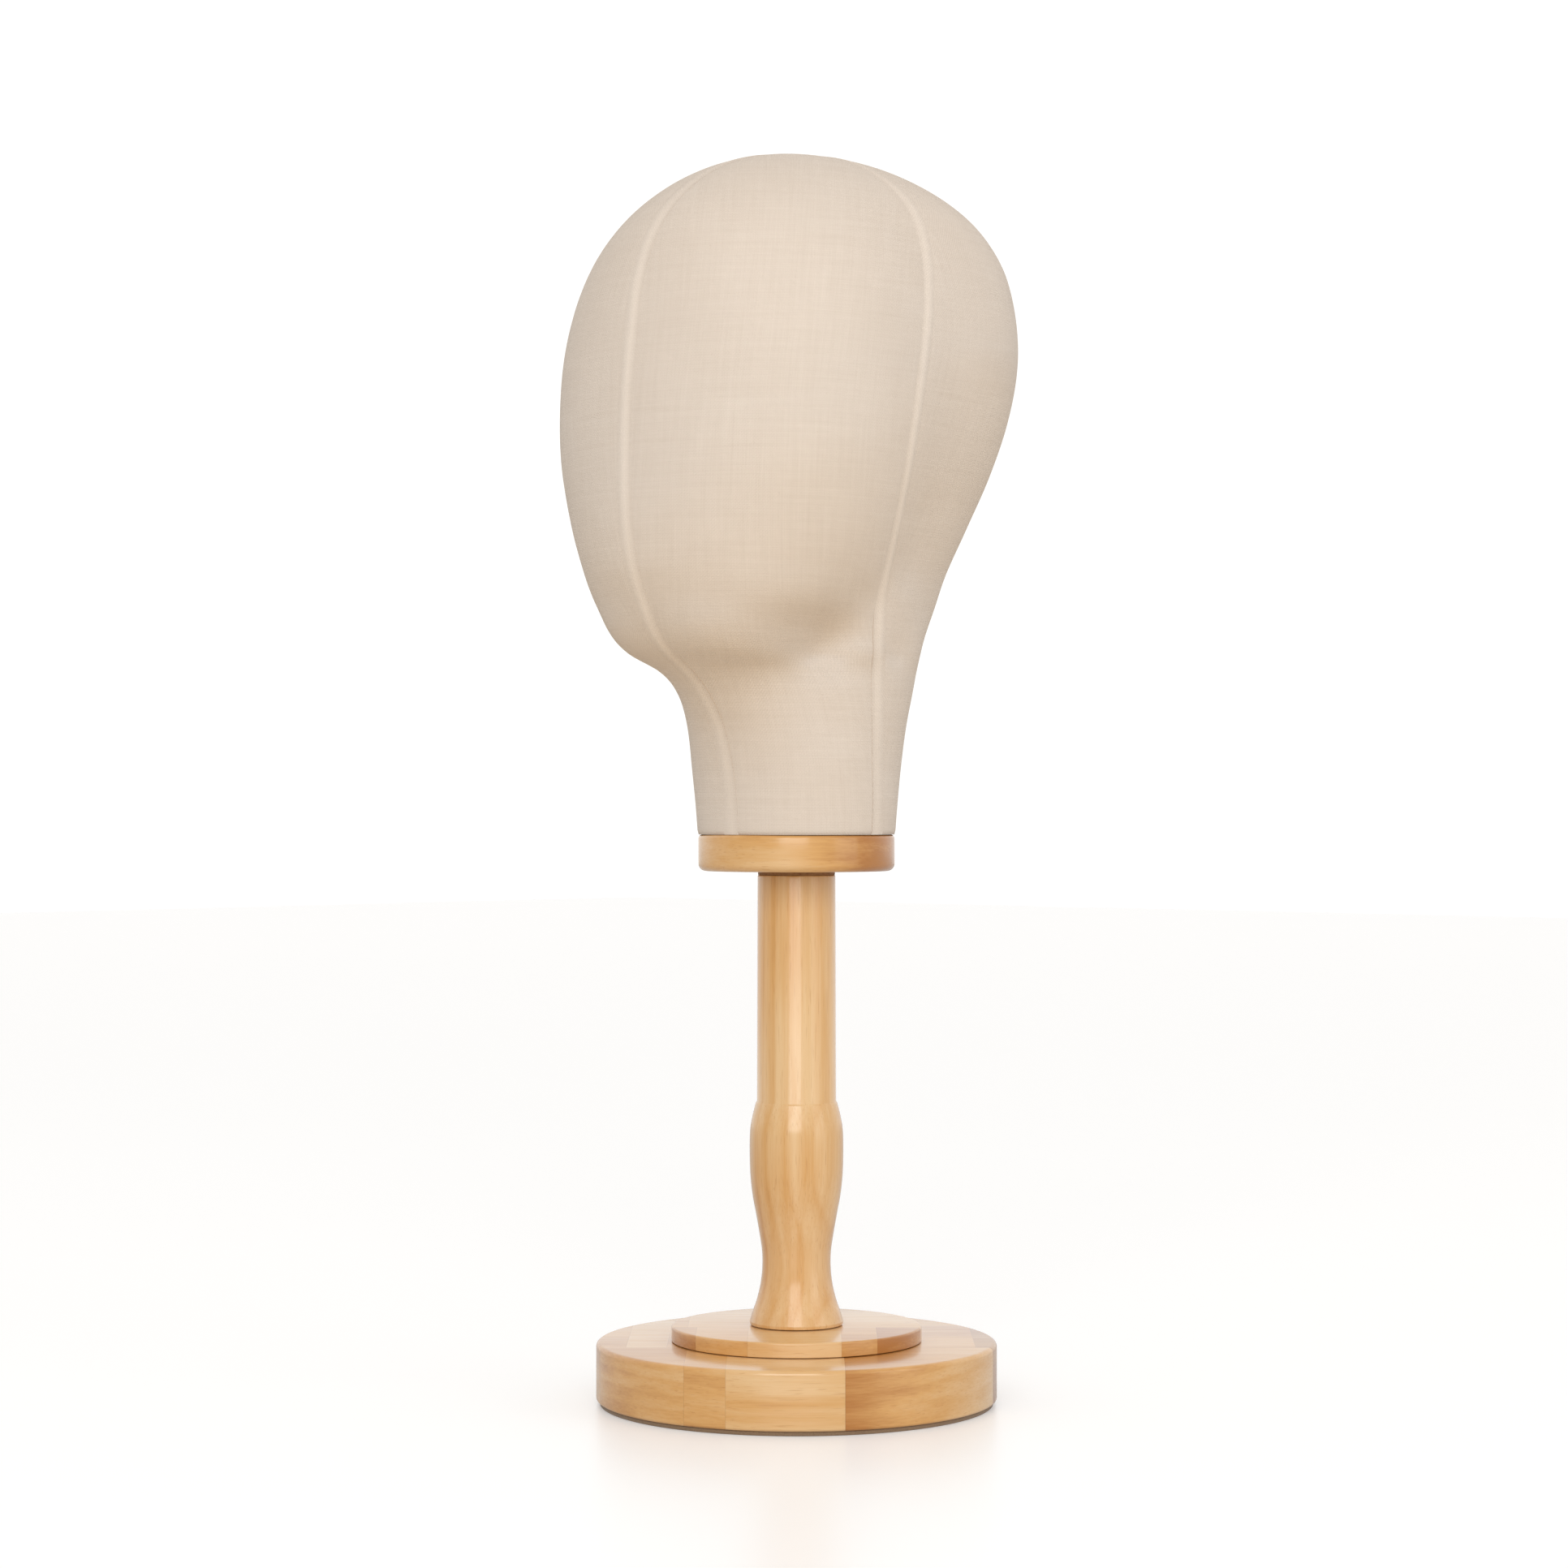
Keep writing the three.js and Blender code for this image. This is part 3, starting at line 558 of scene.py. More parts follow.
def finish_wood(wires, shader, place, tone, ring_depth, glue=None):
    """Joins the wood's figure at a place to the shader, with its glue lines if it has any."""
    settings = bpy.context.scene.head_stand
    colours = settings.colours
    figure = place_group(
        wires, "Wood figure", Map=place, Ring_Pitch=settings.sizes.ring_pitch, Ring_Depth=ring_depth,
        Light=rgba(colours.wood_light), Middle=rgba(colours.wood_middle), Dark=rgba(colours.wood_dark),
        Tone=tone,
    )
    tint = figure["Color"]
    if glue is not None:
        tint = wires.mix(wires.times(glue, 0.4), tint, GLUE_TINT)
    wires.dress(shader, tint, figure["Roughness"], figure["Height"], 0.00004, 0.5)


def joint_count(wires, along, joints):
    """Counts the joints passed along a strip: a whole number at each, rising evenly between them."""
    count = 0.0
    for left, right in zip(joints, joints[1:]):
        count = wires.plus(count, wires.span(along, left * MM, right * MM))
    return count


def block_tone(wires, count, tones):
    """How dark the wood is along a strip, from the two ends of each of its blocks."""
    level = 0.0
    for number, (left, right) in enumerate(tones):
        is_past = wires.math("GREATER_THAN", count, number)
        is_before = wires.math("LESS_THAN", count, number + 1)
        tone = wires.span(count, number, number + 1, left, right)
        here = wires.times(is_past, is_before)
        level = wires.math("MULTIPLY_ADD", here, tone, level)
    return level


def blocked_wood(name, seed, strip_end, joints, tones):
    """Lacquered board glued up from strips that run across the front, each of blocks end to end."""
    wires, shader, material = new_material(name, **LACQUER)
    width = bpy.context.scene.head_stand.sizes.strip_width
    place = mapped(wires, rotation=(0, 0, -VIEW_AZIMUTH))
    x, y, _ = wires.split(place)
    strip = wires.math("DIVIDE", wires.math("SUBTRACT", y, strip_end * MM - width), width)
    strip = wires.math("MAXIMUM", strip, 0.1)
    is_front = wires.math("LESS_THAN", strip, 1.0)
    is_behind = wires.math("SUBTRACT", 1.0, is_front)
    turn = wires.math("SINE", wires.times(wires.math("FLOOR", strip), STRIP_SLIDE_TURN))
    slide = wires.times(is_behind, wires.times(turn, STRIP_SLIDE))
    block = joint_count(wires, wires.plus(x, slide), joints)
    blocks = place_group(wires, "Glued blocks", Map=place, Strip=strip, Block=block, Seed=seed)
    chosen = wires.times(is_front, block_tone(wires, block, tones))
    behind = wires.times(is_behind, blocks["Tone"])
    tone = wires.math("MULTIPLY_ADD", behind, BACK_TONE_SPREAD, chosen)
    finish_wood(wires, shader, blocks["Map"], tone, 0.12, blocks["Glue Line"])
    return material


def solid_wood(name, tone, ring_depth, location, turn=0.0, lacquered=True, darker_end=None):
    """Wood cut from one piece. Its grain stands upright, or lies across the front if one end is darker."""
    constants = LACQUER if lacquered else {"Specular IOR Level": 0.2}
    wires, shader, material = new_material(name, **constants)
    place = mapped(wires, location, (0, 0, turn))
    if darker_end is not None:
        x, y, z = wires.split(place)
        place = wires.vector("MULTIPLY", wires.join(y, z, x), FLAT_SAWN)
        tone = wires.span(x, *DISC_DARKENS, tone, darker_end)
    finish_wood(wires, shader, place, tone, ring_depth)
    return material


def speckled(name, base, second, scale, relief, constants):
    """Plain material with a fine irregular surface, for felt, foam, nylon and metal."""
    wires, shader, material = new_material(name, **constants)
    grain = wires.noise(mapped(wires), scale, detail=4.0, roughness=0.6)
    rough = constants["Roughness"]
    tint = wires.mix(wires.span(grain, 0.3, 0.7), rgba(base), rgba(second))
    roughness = wires.span(grain, 0.3, 0.7, rough * 0.85, min(1.0, rough * 1.15))
    wires.dress(shader, tint, roughness, grain, relief, 0.6)
    return material


def material_of(name):
    """The named material, made the first time that it is asked for."""
    made = bpy.data.materials.get(name)
    if made:
        return made
    if name in SPECKLES:
        return speckled(name, *SPECKLES[name])
    makers = {
        "woven linen": lambda: linen_material(name),
        "seam linen": lambda: linen_material(name, is_seam=True),
        "base wood": lambda: blocked_wood(name, 3.0, BASE_STRIP_END, BASE_JOINTS, BASE_TONES_AND_PAINTED_LIGHT),
        "plinth wood": lambda: blocked_wood(name, 11.0, PLINTH_STRIP_END, PLINTH_JOINTS, PLINTH_TONES),
        "post wood": lambda: solid_wood(name, 0.02, 0.2, (0.045, 0.03, 0.0), turn=0.6),
        "neck disc wood": lambda: solid_wood(
            name, 0.1, 0.06, (0.0, 0.09, 0.05), turn=-VIEW_AZIMUTH, darker_end=0.8
        ),
        "plug wood": lambda: solid_wood(name, 0.0, 0.2, (0.03, 0.02, 0.0), lacquered=False),
        "pressed felt": lambda: speckled(
            name, bpy.context.scene.head_stand.colours.felt, FELT_DARK, 2600.0, 0.0003,
            {"Roughness": 0.95, "Sheen Weight": 0.3},
        ),
    }
    return makers[name]()


def new_piece(name, points, faces, material, body, node):
    """A smooth mesh piece that rides on a body and stands for the given node."""
    mesh = bpy.data.meshes.new(name)
    mesh.from_pydata([tuple(point) for point in points], [], faces)
    mesh.shade_smooth()
    mesh.materials.append(material_of(material))
    piece = bpy.data.objects.new(name, mesh)
    bpy.context.collection.objects.link(piece)
    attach(piece, body)
    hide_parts(node)
    return piece


def between(before, start, end, after, share):
    """A smooth curve through four values in a row, between the middle two."""
    slope = (end - before) / 2
    next_slope = (after - start) / 2
    square, cube = share**2, share**3
    return (
        start * (2 * cube - 3 * square + 1)
        + slope * (cube - 2 * square + share)
        + end * (3 * square - 2 * cube)
        + next_slope * (cube - square)
    )


def smooth_rows(table, places, after):
    """Rows of a table at places along it, on a smooth curve. The last row is followed by the one given."""
    table = np.asarray(table, float)
    padded = np.vstack([2 * table[0] - table[1], table, after])
    index = np.clip(np.floor(places).astype(int), 0, len(table) - 2)
    share = (places - index)[:, None]
    return between(padded[index], padded[index + 1], padded[index + 2], padded[index + 3], share)


def sections_at(places):
    """Heights and radii of the head's sections at places along the table, in metres."""
    before_crown = HEAD_SECTIONS[-2]
    mirrored = (before_crown[0], *(-radius for radius in before_crown[1:]))
    spread = np.interp(places, CROWN_EASE_FROM, (0, 1)) * CROWN_EASE
    steps = CROWN_EASE_STEPS
    total = 0
    for step in range(1 - steps, steps):
        here = places + spread * step / steps
        beyond = here > LAST_SECTION
        rows = smooth_rows(HEAD_SECTIONS, np.where(beyond, 2 * LAST_SECTION - here, here), mirrored) * MM
        rows[beyond, 1:] *= -1
        total = total + rows * (1 + math.cos(math.pi * step / steps)) / (2 * steps)
    return total[:, 0], total[:, 1:]


def radii_at(radii, angles):
    """Radius at angles from the face, by a cosine series through the radii of each row."""
    last = radii.shape[1] - 1
    steps = np.arange(last + 1)
    ends = np.where((steps == 0) | (steps == last), 0.5, 1.0)
    total = np.zeros(angles.shape)
    for wave in steps:
        share = (radii * ends * np.cos(np.pi * wave * steps / last)).sum(1) / last
        total += share[:, None] * (2 * ends[wave]) * np.cos(wave * angles)
    return total


def head_points(places, angles):
    heights, radii = sections_at(places)
    reach = radii_at(radii, angles)
    height = np.broadcast_to(heights[:, None], angles.shape)
    return np.stack([reach * np.sin(angles), -reach * np.cos(angles), height], axis=-1)


def head_normals(places, angles):
    step = 0.01
    low = np.maximum(places - step, 0)
    high = np.minimum(places + step, LAST_SECTION)
    up = head_points(high, angles) - head_points(low, angles)
    around = head_points(places, angles + step) - head_points(places, angles - step)
    normals = np.cross(around, up)
    size = np.linalg.norm(normals, axis=-1, keepdims=True)
    return np.where(size > 1e-12, normals / np.maximum(size, 1e-12), (0.0, 0.0, 1.0))


def side_seam_angles(places):
    """Angle of the side seam, which bows forward over the ear."""
    heights, _ = sections_at(places)
    rise = np.clip((heights - HEAD_FOOT) / (CROWN - HEAD_FOOT), 0, 1)
    return SIDE_SEAM_ANGLE - SIDE_SEAM_BEND * np.sin(np.pi * rise) ** 1.5


def place_at_radius(radius):
    """Place near the crown where the ear radius has come down to the given value."""
    places = np.linspace(LAST_SECTION - 1, LAST_SECTION, CROWN_SAMPLES)
    _, radii = sections_at(places)
    return float(places[np.argmax(radii[:, EAR_COLUMN] <= radius)])


def lengths_along(points):
    steps = np.linalg.norm(np.diff(points, axis=0), axis=1)
    return np.concatenate([[0.0], np.cumsum(steps)])


def even_places(fine, points, count):
    """Places that cut a line on the head into equal lengths, and the length at each."""
    along = lengths_along(points)
    even = np.linspace(0, along[-1], count)
    return np.interp(even, along, fine), even


def hem_depth(along):
    """How far the linen's lower edge rolls in, just above the neck disc."""
    rest = np.clip(1 - along / HEM_ROLL, 0, 1)
    return HEM_ROLL * 0.5 * (1 - np.sqrt(np.maximum(0, 1 - rest**2)))


def seam_pull(distance, along, sizes, phase):
    """How far the linen dips beside a seam, and puckers at its stitches."""
    edge = np.maximum(distance - TUCK_SHARE * sizes.seam_width, 0)
    dip = DIP_DEPTH * np.exp(-((edge / DIP_REACH) ** 2))
    pucker = PUCKER_DEPTH * np.exp(-edge / PUCKER_REACH)
    return dip + pucker * np.sin(2 * np.pi * along / sizes.stitch_pitch + phase)


def painted_underside_shade(normals):
    """How far a surface faces down, for the painted shade there: 0 where it is upright, 1 where it is
    steepest.
    """
    return np.clip(-normals[..., 2] / STEEPEST, 0, 1)


def panel_grid(is_front, tuck):
    """Places, lengths from the neck and angles of a panel's grid. Each row ends under the seams."""
    fine = np.linspace(0, place_at_radius(PANEL_TIP_RADIUS), PANEL_SAMPLES)
    seam = side_seam_angles(fine)
    near, far = (0 * seam, seam) if is_front else (seam, 0 * seam + np.pi)
    middle = (near + far)[:, None] / 2
    places, along = even_places(fine, head_points(fine, middle)[:, 0], PANEL_ROWS + 1)
    _, radii = sections_at(places)
    ends = []
    for edge, inward in ((near, 1), (far, -1)):
        edge = np.interp(places, fine, edge)
        reach = radii_at(radii, edge[:, None])[:, 0]
        ends.append(edge + inward * np.arcsin(np.minimum(1, tuck / reach)))
    start, end = ends
    share = (1 - np.cos(np.linspace(0, np.pi, PANEL_COLUMNS + 1))) / 2
    return places, along, start[:, None] + (end - start)[:, None] * share


def linen_panel(name, side, is_front, node, sizes):
    """One panel over a quarter of the head, from the neck to the crown, with its area, width and length."""
    tuck = TUCK_SHARE * sizes.seam_width
    places, along, angles = panel_grid(is_front, tuck)
    surface = head_points(places, angles)
    normals = head_normals(places, angles)
    steps = np.linalg.norm(np.diff(surface, axis=1), axis=-1)
    across = np.concatenate([np.zeros((PANEL_ROWS + 1, 1)), np.cumsum(steps, axis=1)], axis=1)
    width = across[:, -1:]
    rise = along[:, None]
    depth = (
        hem_depth(rise)
        + seam_pull(across + tuck, rise, sizes, 0.0)
        + seam_pull(width - across + tuck, rise, sizes, np.pi)
    )
    outer = surface - normals * depth[..., None]
    inner = surface - normals * (depth + sizes.linen_thickness)[..., None]
    for sheet in (outer, inner):
        sheet[0, :, 2] = HEAD_FOOT
        sheet[..., 0] *= side
    faces = shell_faces(PANEL_ROWS, PANEL_COLUMNS, side > 0)
    points = np.concatenate([outer.reshape(-1, 3), inner.reshape(-1, 3)])
    panel = new_piece(name, points, faces, "woven linen", "head", node)
    middle_offset = across - width / 2
    cloth = np.stack([middle_offset, np.broadcast_to(rise, across.shape)], axis=-1).reshape(-1, 2)
    # How far each point faces down, for the painted shade
    below = painted_underside_shade(normals).ravel()
    set_cloth_map(panel, np.concatenate([cloth, cloth]), np.concatenate([below, below]))
    area = (width[:-1, 0] * np.diff(along)).sum()
    return panel, float(area), float(width.max()), float(along[-1])


def shell_faces(rows, columns, outward):
    """Faces of a closed shell: an outer grid, an inner grid after it, and the rim between them."""
    wide = columns + 1
    inner = (rows + 1) * wide
    faces = []
    for row in range(rows):
        for column in range(columns):
            a = row * wide + column
            b, c, d = a + 1, a + wide + 1, a + wide
            faces.append((a, b, c, d))
            faces.append((inner + b, inner + a, inner + d, inner + c))
        a, d = row * wide, (row + 1) * wide
        faces.append((inner + a, a, d, inner + d))
        b, c = a + columns, d + columns
        faces.append((b, inner + b, inner + c, c))
    top = rows * wide
    for column in range(columns):
        a, b = column, column + 1
        faces.append((b, a, inner + a, inner + b))
        faces.append((top + a, top + b, inner + top + b, inner + top + a))
    return faces if outward else [tuple(reversed(face)) for face in faces]


def set_cloth_map(piece, cloth, below):
    """Gives each point its place on the flat cloth, and how far it faces down, for the painted shade there.
    """
    layer = piece.data.uv_layers.new(name="cloth")
    corners = np.empty(len(piece.data.loops), np.int32)
    piece.data.loops.foreach_get("vertex_index", corners)
    layer.data.foreach_set("uv", cloth[corners].astype(np.float32).ravel())
    layer = piece.data.attributes.new("painted_underside_shade", "FLOAT", "POINT")
    layer.data.foreach_set("value", below.astype(np.float32))


def seam_line(fine, angles):
    """Evenly spaced points along a line on the head, their normals and the length up to each."""
    line = head_points(fine, angles[:, None])[:, 0]
    normals = head_normals(fine, angles[:, None])[:, 0]
    along = lengths_along(line)
    even = np.linspace(0, along[-1], int(along[-1] / SEAM_STEP) + 1)
    line, normals = (
        np.stack([np.interp(even, along, column) for column in rows.T], axis=1)
        for rows in (line, normals)
    )
    return line, normals / np.linalg.norm(normals, axis=1, keepdims=True), even


def seam_band(name, fine, angles, node, sizes):
    """A rolled seam along a line on the head: a low soft ridge whose edges are tucked under the panels."""
    line, normals, even = seam_line(fine, angles)
    sideways = np.cross(np.gradient(line, axis=0), normals)
    sideways /= np.linalg.norm(sideways, axis=1, keepdims=True)
    under = np.linspace(-SEAM_UNDER_WIDTH, SEAM_UNDER_WIDTH, SEAM_UNDER_POINTS)
    across = np.concatenate([np.linspace(1, -1, SEAM_TOP_POINTS), under])
    is_top = np.arange(len(across)) < SEAM_TOP_POINTS
    # How far the seam faces down, for the painted shade
    below = painted_underside_shade(normals)[:, None]
    crest = sizes.seam_height * np.interp(line[:, 2:], SEAM_LEVELS, SEAM_SHARES)
    ridge = (crest + SEAM_TUCK) * np.cos(np.pi / 2 * across) ** 2 - SEAM_TUCK
    height = np.where(is_top, ridge, -SEAM_DEPTH)
    gather = 1 + SEAM_GATHER * np.sin(2 * np.pi * even / sizes.stitch_pitch)[:, None]
    lift = height * np.where(height > 0, gather, 1.0) - hem_depth(line[:, 2:] - HEAD_FOOT)
    offset = np.broadcast_to(across * sizes.seam_width / 2, lift.shape)
    points = line[:, None] + sideways[:, None] * offset[..., None] + normals[:, None] * lift[..., None]
    points[..., 2] = np.maximum(points[..., 2], HEAD_FOOT)
    faces = tube_faces(len(line), len(across))
    seam = new_piece(name, points.reshape(-1, 3), faces, "seam linen", "head", node)
    seam.data.set_sharp_from_angle(angle=SHARP_ANGLE)
    cloth = np.stack([offset, np.broadcast_to(even[:, None], offset.shape)], axis=-1).reshape(-1, 2)
    set_cloth_map(seam, cloth, np.broadcast_to(below, offset.shape).ravel())


def tube_faces(rows, sides):
    faces = []
    for row in range(rows - 1):
        for step in range(sides):
            a, b = row * sides + step, row * sides + (step + 1) % sides
            faces.append((a, b, b + sides, a + sides))
    faces.append(tuple(reversed(range(sides))))
    faces.append(tuple(range((rows - 1) * sides, rows * sides)))
    return faces


def filleted(corners):
    """An outline through corners (radius, height, fillet), with each fillet as an arc."""
    points = []
    for index, (radius, height, fillet) in enumerate(corners):
        here = Vector((radius, height))
        if not fillet:
            points.append(here)
            continue
        before = Vector(corners[index - 1][:2])
        after = Vector(corners[(index + 1) % len(corners)][:2])
        into, out = (before - here).normalized(), (after - here).normalized()
        half_angle = into.angle(out) / 2
        reach = fillet / math.tan(half_angle)
        centre = here + (into + out).normalized() * (fillet / math.sin(half_angle))
        first, last = here + into * reach - centre, here + out * reach - centre
        sweep = first.angle_signed(last)
        for step in range(FILLET_STEPS + 1):
            points.append(centre + Matrix.Rotation(-sweep * step / FILLET_STEPS, 2) @ first)
    return [(point.x, point.y) for point in points]


def turned_mesh(outline, closed):
    """Points and faces of an outline turned about the Z axis. A point at radius 0 is a single vertex."""
    points, rings = [], []
    for radius, height in outline:
        if radius < 1e-9:
            rings.append([len(points)] * ROUND_STEPS)
            points.append((0.0, 0.0, height))
            continue
        rings.append(list(range(len(points), len(points) + ROUND_STEPS)))
        for step in range(ROUND_STEPS):
            angle = 2 * math.pi * step / ROUND_STEPS
            points.append((radius * math.cos(angle), radius * math.sin(angle), height))
    faces = []
    pairs = list(zip(rings, rings[1:])) + ([(rings[-1], rings[0])] if closed else [])
    for low, high in pairs:
        for step in range(ROUND_STEPS):
            after = (step + 1) % ROUND_STEPS
            face = tuple(dict.fromkeys((low[step], low[after], high[after], high[step])))
            if len(face) > 2:
                faces.append(face)
    return points, faces


def turned_piece(name, outline, closed, material, body, node):
    points, faces = turned_mesh(outline, closed)
    piece = new_piece(name, points, faces, material, body, node)
    piece.data.set_sharp_from_angle(angle=SHARP_ANGLE)


def rim(node):
    """Radius, lowest and highest point of a round node about the post's axis."""
    low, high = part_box(node)
    return high.x, low.z, high.z


def ring_piece(name, node, bore, fillets, material, body, below=0.0, above=0.0):
    """A ring of its node's radius and height. Fillets go from the bore's foot outwards, up and back."""
    radius, foot, top = rim(node)
    foot, top = foot - below, top + above
    corners = ((bore, foot), (radius, foot), (radius, top), (bore, top))
    outline = filleted([(*corner, fillet * MM) for corner, fillet in zip(corners, fillets)])
    turned_piece(name, outline, bore > 0, material, body, node)


class HEADSTAND_OT_linen_panels(bpy.types.Operator):
    """Cover the head with four linen panels"""

    bl_idname = "head_stand.linen_panels"
    bl_label = "Linen panels"

    def execute(self, context):
        sizes = context.scene.head_stand.sizes
        for half, side in (("right", -1), ("left", 1)):
            for part, is_front in (("front", True), ("back", False)):
                name, node = f"cover_{part}_{half}", f"linen_{part}_{half}"
                panel, area, width, length = linen_panel(name, side, is_front, node, sizes)
        return {"FINISHED"}


class HEADSTAND_OT_seams(bpy.types.Operator):
    """Lay the rolled seams over the crown and up each side of the head"""

    bl_idname = "head_stand.seams"
    bl_label = "Seams"

    def execute(self, context):
        sizes = context.scene.head_stand.sizes
        up = np.linspace(0, LAST_SECTION, SEAM_SAMPLES)
        places = np.concatenate([up, up[-2::-1]])
        angles = np.concatenate([0 * up, 0 * up[1:] + np.pi])
        seam_band("rolled_seam_centre", places, angles, "seam_centre", sizes)
        side_places = np.linspace(0, place_at_radius(SIDE_SEAM_TIP_RADIUS), SEAM_SAMPLES)
        side_angles = side_seam_angles(side_places)
        seam_band("rolled_seam_left", side_places, side_angles, "seam_left", sizes)
        seam_band("rolled_seam_right", side_places, -side_angles, "seam_right", sizes)
        return {"FINISHED"}


class HEADSTAND_OT_base(bpy.types.Operator):
    """Build the round base, the plinth on it and the felt pad under it"""

    bl_idname = "head_stand.base"
    bl_label = "Base"

    def execute(self, context):
        radius, foot, top = rim("base_disc")
        outline = filleted(
            [
                (COUNTERBORE_RADIUS, foot, 0),
                (radius, foot, 1.2 * MM),
                (radius, top, 1.8 * MM),
                (TENON_HOLE_RADIUS, top, 0),
                (TENON_HOLE_RADIUS, WEB_TOP, 0),
                (BOLT_HOLE[0], WEB_TOP, 0),
                (BOLT_HOLE[0], WEB_FOOT, 0),
                (COUNTERBORE_RADIUS, WEB_FOOT, 0),
            ]
        )
        turned_piece("board_base", outline, True, "base wood", "stand", "base_disc")
        ring_piece(
            "board_plinth", "plinth_disc", TENON_HOLE_RADIUS, (0, 0.3, 0.9, 0),
            "plinth wood", "stand",
        )
        ring_piece(
            "felt_pad", "base_pad", 0, (0, 0.4, 0.4, 0), "pressed felt", "stand", above=SQUEEZE
        )
        return {"FINISHED"}


class HEADSTAND_OT_post(bpy.types.Operator):
    """Turn the post with its tenon, foot, swelling, collar, shaft and spigot"""

    bl_idname = "head_stand.post"
    bl_label = "Post"

    def execute(self, context):
        _, tenon_foot, spigot_top = rim("post")
        foot = rim("plinth_disc")[2] + FOOT_GAP
        rows = np.array(BALUSTER) * MM
        swelling = smooth_rows(
            rows, np.linspace(0, len(rows) - 1, SWELLING_ROWS), 2 * rows[-1] - rows[-2]
        )
        above = [
            (0, spigot_top, 0),
            (SPIGOT_RADIUS, spigot_top, 1.5 * MM),
            (SPIGOT_RADIUS, POST_SHOULDER, 0),
            (SHAFT_RADIUS, POST_SHOULDER, 0.6 * MM),
            (*SHAFT_FOOT, 0),
            (*COLLAR, 0.25 * MM),
            (*swelling[0], 0),
        ]
        below = [
            (*swelling[-1], 0),
            (FOOT_RADIUS, foot + 1.3 * MM, 0.5 * MM),
            (FOOT_RADIUS - 0.25 * MM, foot, 0.4 * MM),
            (TENON_RADIUS, foot, 0),
            (TENON_RADIUS, tenon_foot, 0.5 * MM),
            (INSERT_HOLE[0], tenon_foot, 0),
            (*INSERT_HOLE, 0),
            (BOLT_HOLE[0], INSERT_HOLE[1], 0),
            (*BOLT_HOLE, 0),
            (0, BOLT_HOLE[1], 0),
        ]
        outline = filleted(above)[:-1] + [tuple(row) for row in swelling] + filleted(below)[1:]
        turned_piece("turned_post", outline[::-1], False, "post wood", "stand", "post")
        return {"FINISHED"}


class HEADSTAND_OT_neck(bpy.types.Operator):
    """Build the neck disc, the washer it turns on and the bush that lines it"""

    bl_idname = "head_stand.neck"
    bl_label = "Neck disc and swivel"

    def execute(self, context):
        ring_piece(
            "board_neck", "neck_disc", DISC_BORE, (0, 3, 1.6, 0),
            "neck disc wood", "head", above=SQUEEZE,
        )
        # The washer's dark brown is painted shadow under the neck disc
        ring_piece(
            "thrust_washer", "swivel_washer", WASHER_BORE, (0, 0.2, 0.2, 0),
            "nylon dark as shadow", "swivel", below=SQUEEZE, above=SQUEEZE,
        )
        ring_piece(
            "bush_sleeve", "swivel_bush", BUSH_BORE, (0.3, 0, 0, 0.3), "brass", "head"
        )
        return {"FINISHED"}


class HEADSTAND_OT_fittings(bpy.types.Operator):
    """Finish the filling, the plug and the metal fittings that the frame carries"""

    bl_idname = "head_stand.fittings"
    bl_label = "Inner pieces"

    def execute(self, context):
        finishes = {
            "head_core": "foam",
            "neck_block": "plug wood",
            "base_bolt": "zinc",
            "base_washer": "zinc",
            "post_insert": "brass",
            **{f"disc_screw_{index}": "zinc" for index in range(1, 5)},
        }
        for node, finish in finishes.items():
            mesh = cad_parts[node].data
            mesh.materials.clear()
            mesh.materials.append(material_of(finish))
        return {"FINISHED"}


def round_the_stand(azimuth, distance, height):
    """A place at an azimuth in degrees from the camera, positive to its right, in the stand's frame."""
    angle = VIEW_AZIMUTH + math.radians(azimuth)
    return Vector((distance * math.sin(angle), -distance * math.cos(angle), height))


def aimed(name, data, place, target):
    """A camera or a light at a place, turned to look at a target."""
    made = bpy.data.objects.new(name, data)
    bpy.context.collection.objects.link(made)
    made.location = place
    made.rotation_euler = (target - place).to_track_quat("-Z", "Y").to_euler()
    return made


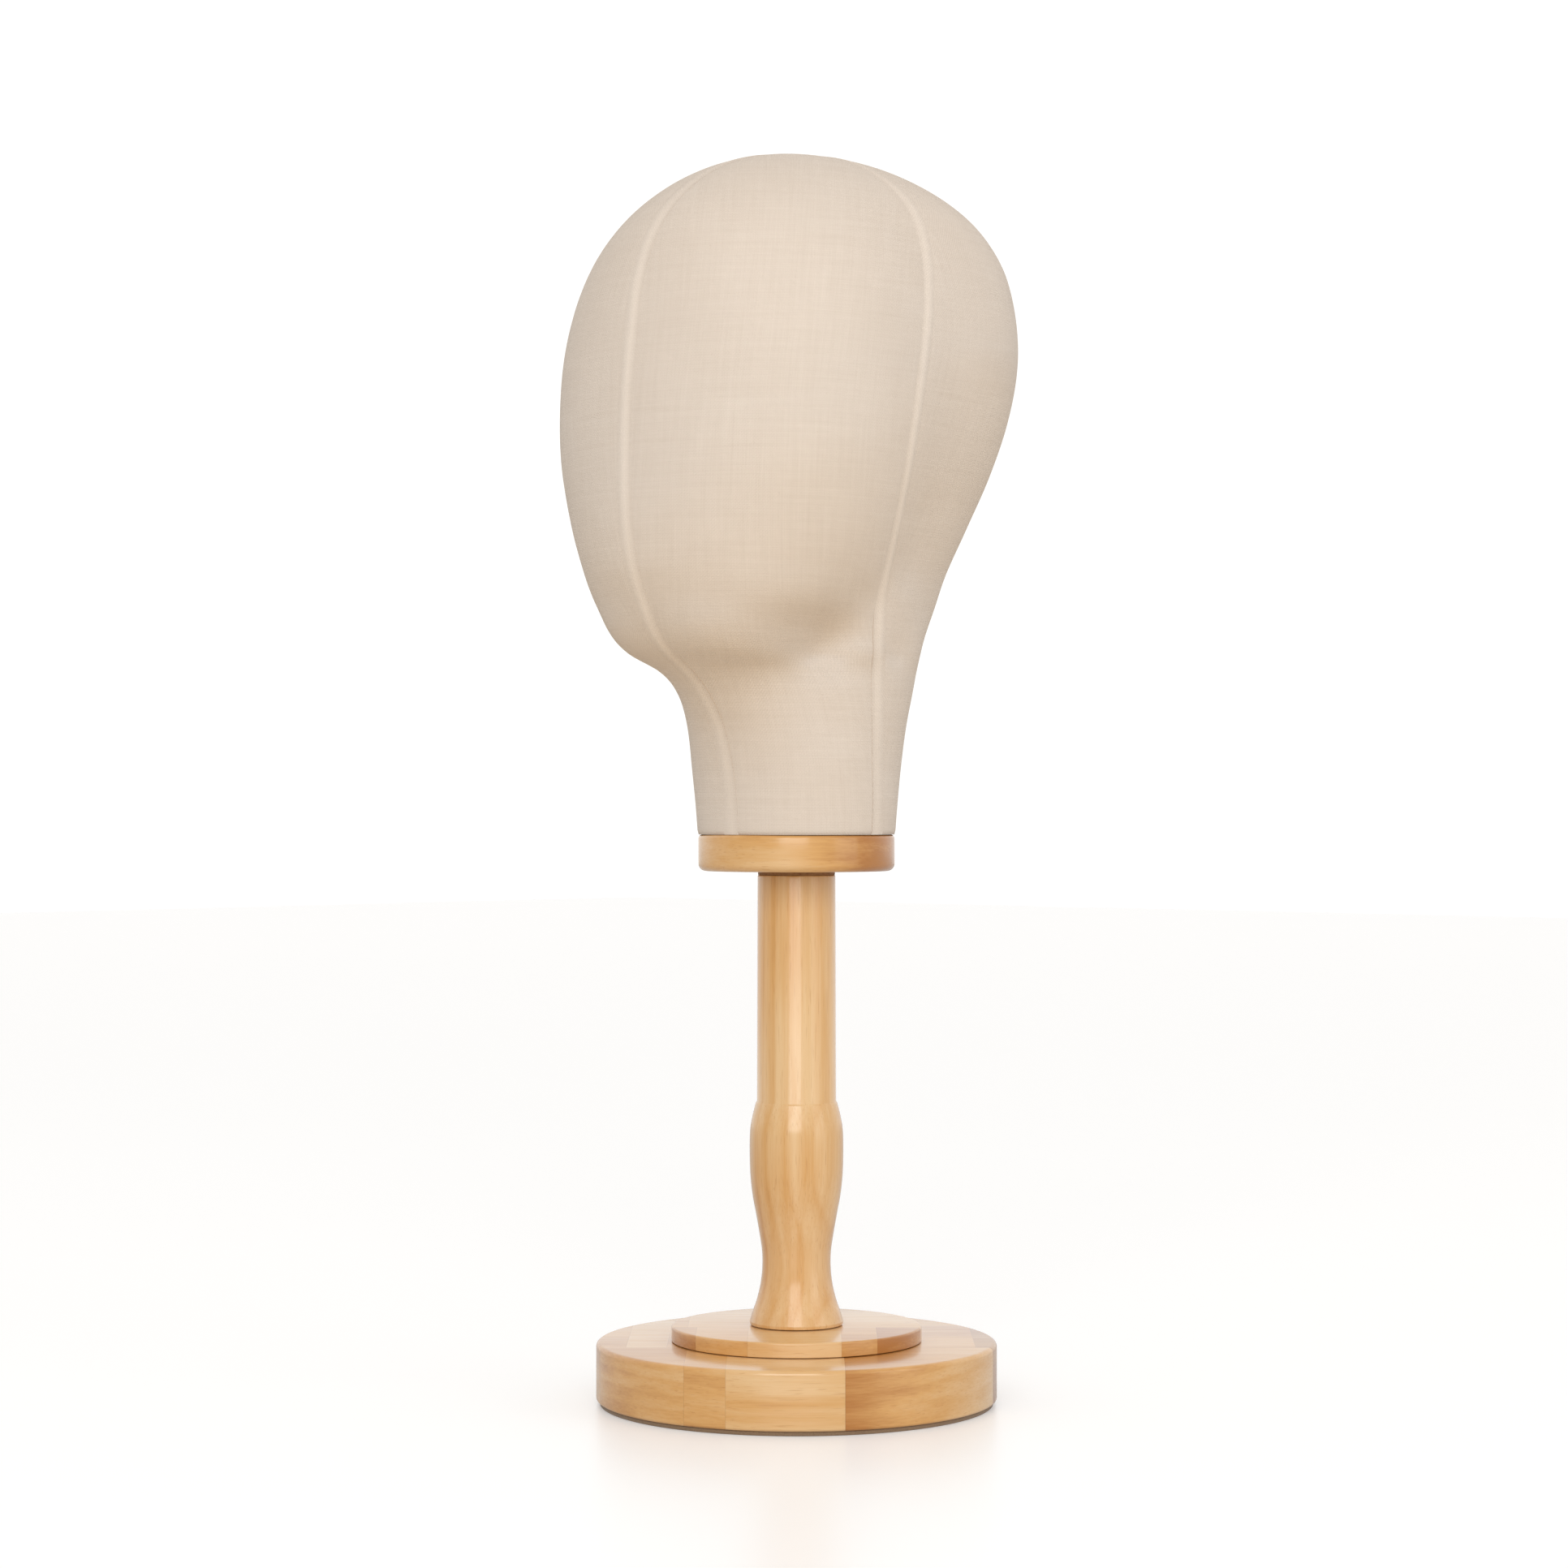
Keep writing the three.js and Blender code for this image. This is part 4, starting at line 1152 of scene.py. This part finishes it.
class HEADSTAND_OT_stage(bpy.types.Operator):
    """Set the camera, the pale floor, the light tent and the studio lights"""

    bl_idname = "head_stand.stage"
    bl_label = "Stage"

    def execute(self, context):
        context.scene.view_settings.view_transform = "Standard"
        self.add_camera(context.scene)
        self.add_floor(context)
        self.add_tent(context.scene)
        self.add_lights()
        return {"FINISHED"}

    def add_camera(self, scene):
        data = bpy.data.cameras.new("camera")
        data.lens = VIEW_LENS
        data.clip_end = 50
        right = Vector((math.cos(VIEW_AZIMUTH), math.sin(VIEW_AZIMUTH), 0))
        target = right * VIEW_TARGET_SIDE + Vector((0, 0, VIEW_TARGET_HEIGHT))
        scene.camera = aimed("camera", data, round_the_stand(0, VIEW_DISTANCE, VIEW_HEIGHT), target)

    def add_floor(self, context):
        mesh = bpy.data.meshes.new("floor")
        corners = [(x * FLOOR_HALF, y * FLOOR_HALF, 0) for x, y in ((-1, -1), (1, -1), (1, 1), (-1, 1))]
        mesh.from_pydata(corners, [], [(0, 1, 2, 3)])
        floor = bpy.data.objects.new("floor", mesh)
        context.collection.objects.link(floor)
        wires, shader, material = new_material("floor", **{
            "Base Color": (0.72, 0.72, 0.72, 1), "Roughness": 0.32, "Emission Strength": 0.29,
        })
        seen = wires.node("ShaderNodeLightPath").outputs["Is Camera Ray"]
        wires.feed(shader["Emission Color"], wires.mix(seen, (0, 0, 0, 1), (1, 1, 1, 1)))
        mesh.materials.append(material)

    def add_tent(self, scene):
        """A light tent: seen white, mirrored bright behind the stand and dimmer in front of it."""
        world = bpy.data.worlds.new("studio")
        scene.world = world
        world.use_nodes = True
        wires = Wiring(world.node_tree)
        around = wires.node("ShaderNodeTexCoord").outputs["Generated"]
        behind = round_the_stand(180, 1.0, 0.0)
        turned = wires.node("ShaderNodeVectorMath", {0: around, 1: behind}, operation="DOT_PRODUCT")
        mirrored = wires.span(turned.outputs["Value"], -0.3, 0.6, *TENT_MIRRORED)
        path = wires.node("ShaderNodeLightPath").outputs
        strength = wires.math("MULTIPLY_ADD", path["Is Camera Ray"], TENT_SEEN - TENT_LIGHT, TENT_LIGHT)
        gloss = wires.times(path["Is Glossy Ray"], wires.math("SUBTRACT", mirrored, TENT_LIGHT))
        background = world.node_tree.nodes["Background"].inputs
        background["Color"].default_value = TENT_COLOUR
        wires.feed(background["Strength"], wires.plus(strength, gloss))

    def add_lights(self):
        for name, (azimuth, distance, height, power, size, tint) in LIGHTS.items():
            data = bpy.data.lights.new(name, "AREA")
            data.energy = power
            data.color = tint
            data.shape = "RECTANGLE"
            data.size, data.size_y = size
            aimed(name, data, round_the_stand(azimuth, distance, height), LIT_POINT)


STEPS = (
    HEADSTAND_OT_stage,
    HEADSTAND_OT_linen_panels,
    HEADSTAND_OT_seams,
    HEADSTAND_OT_base,
    HEADSTAND_OT_post,
    HEADSTAND_OT_neck,
    HEADSTAND_OT_fittings,
)


class VIEW3D_PT_head_stand(bpy.types.Panel):
    """Lists the sizes, the colours and the building steps"""

    bl_label = "Head Stand"
    bl_idname = "VIEW3D_PT_head_stand"
    bl_space_type = "VIEW_3D"
    bl_region_type = "UI"
    bl_category = "Head Stand"

    def draw(self, context):
        settings = context.scene.head_stand
        for group in (settings.sizes, settings.colours):
            box = self.layout.box()
            for name in group.__annotations__:
                box.prop(group, name)
        for step in STEPS:
            self.layout.operator(step.bl_idname)


CLASSES = (HeadStandSizes, HeadStandColours, HeadStandSettings, *STEPS, VIEW3D_PT_head_stand)


def register():
    for kind in CLASSES:
        bpy.utils.register_class(kind)
    bpy.types.Scene.head_stand = PointerProperty(type=HeadStandSettings)


def unregister():
    del bpy.types.Scene.head_stand
    for kind in reversed(CLASSES):
        bpy.utils.unregister_class(kind)


def main():
    register()
    for step in STEPS:
        group, name = step.bl_idname.split(".")
        getattr(getattr(bpy.ops, group), name)()


if __name__ == "__main__":
    main()
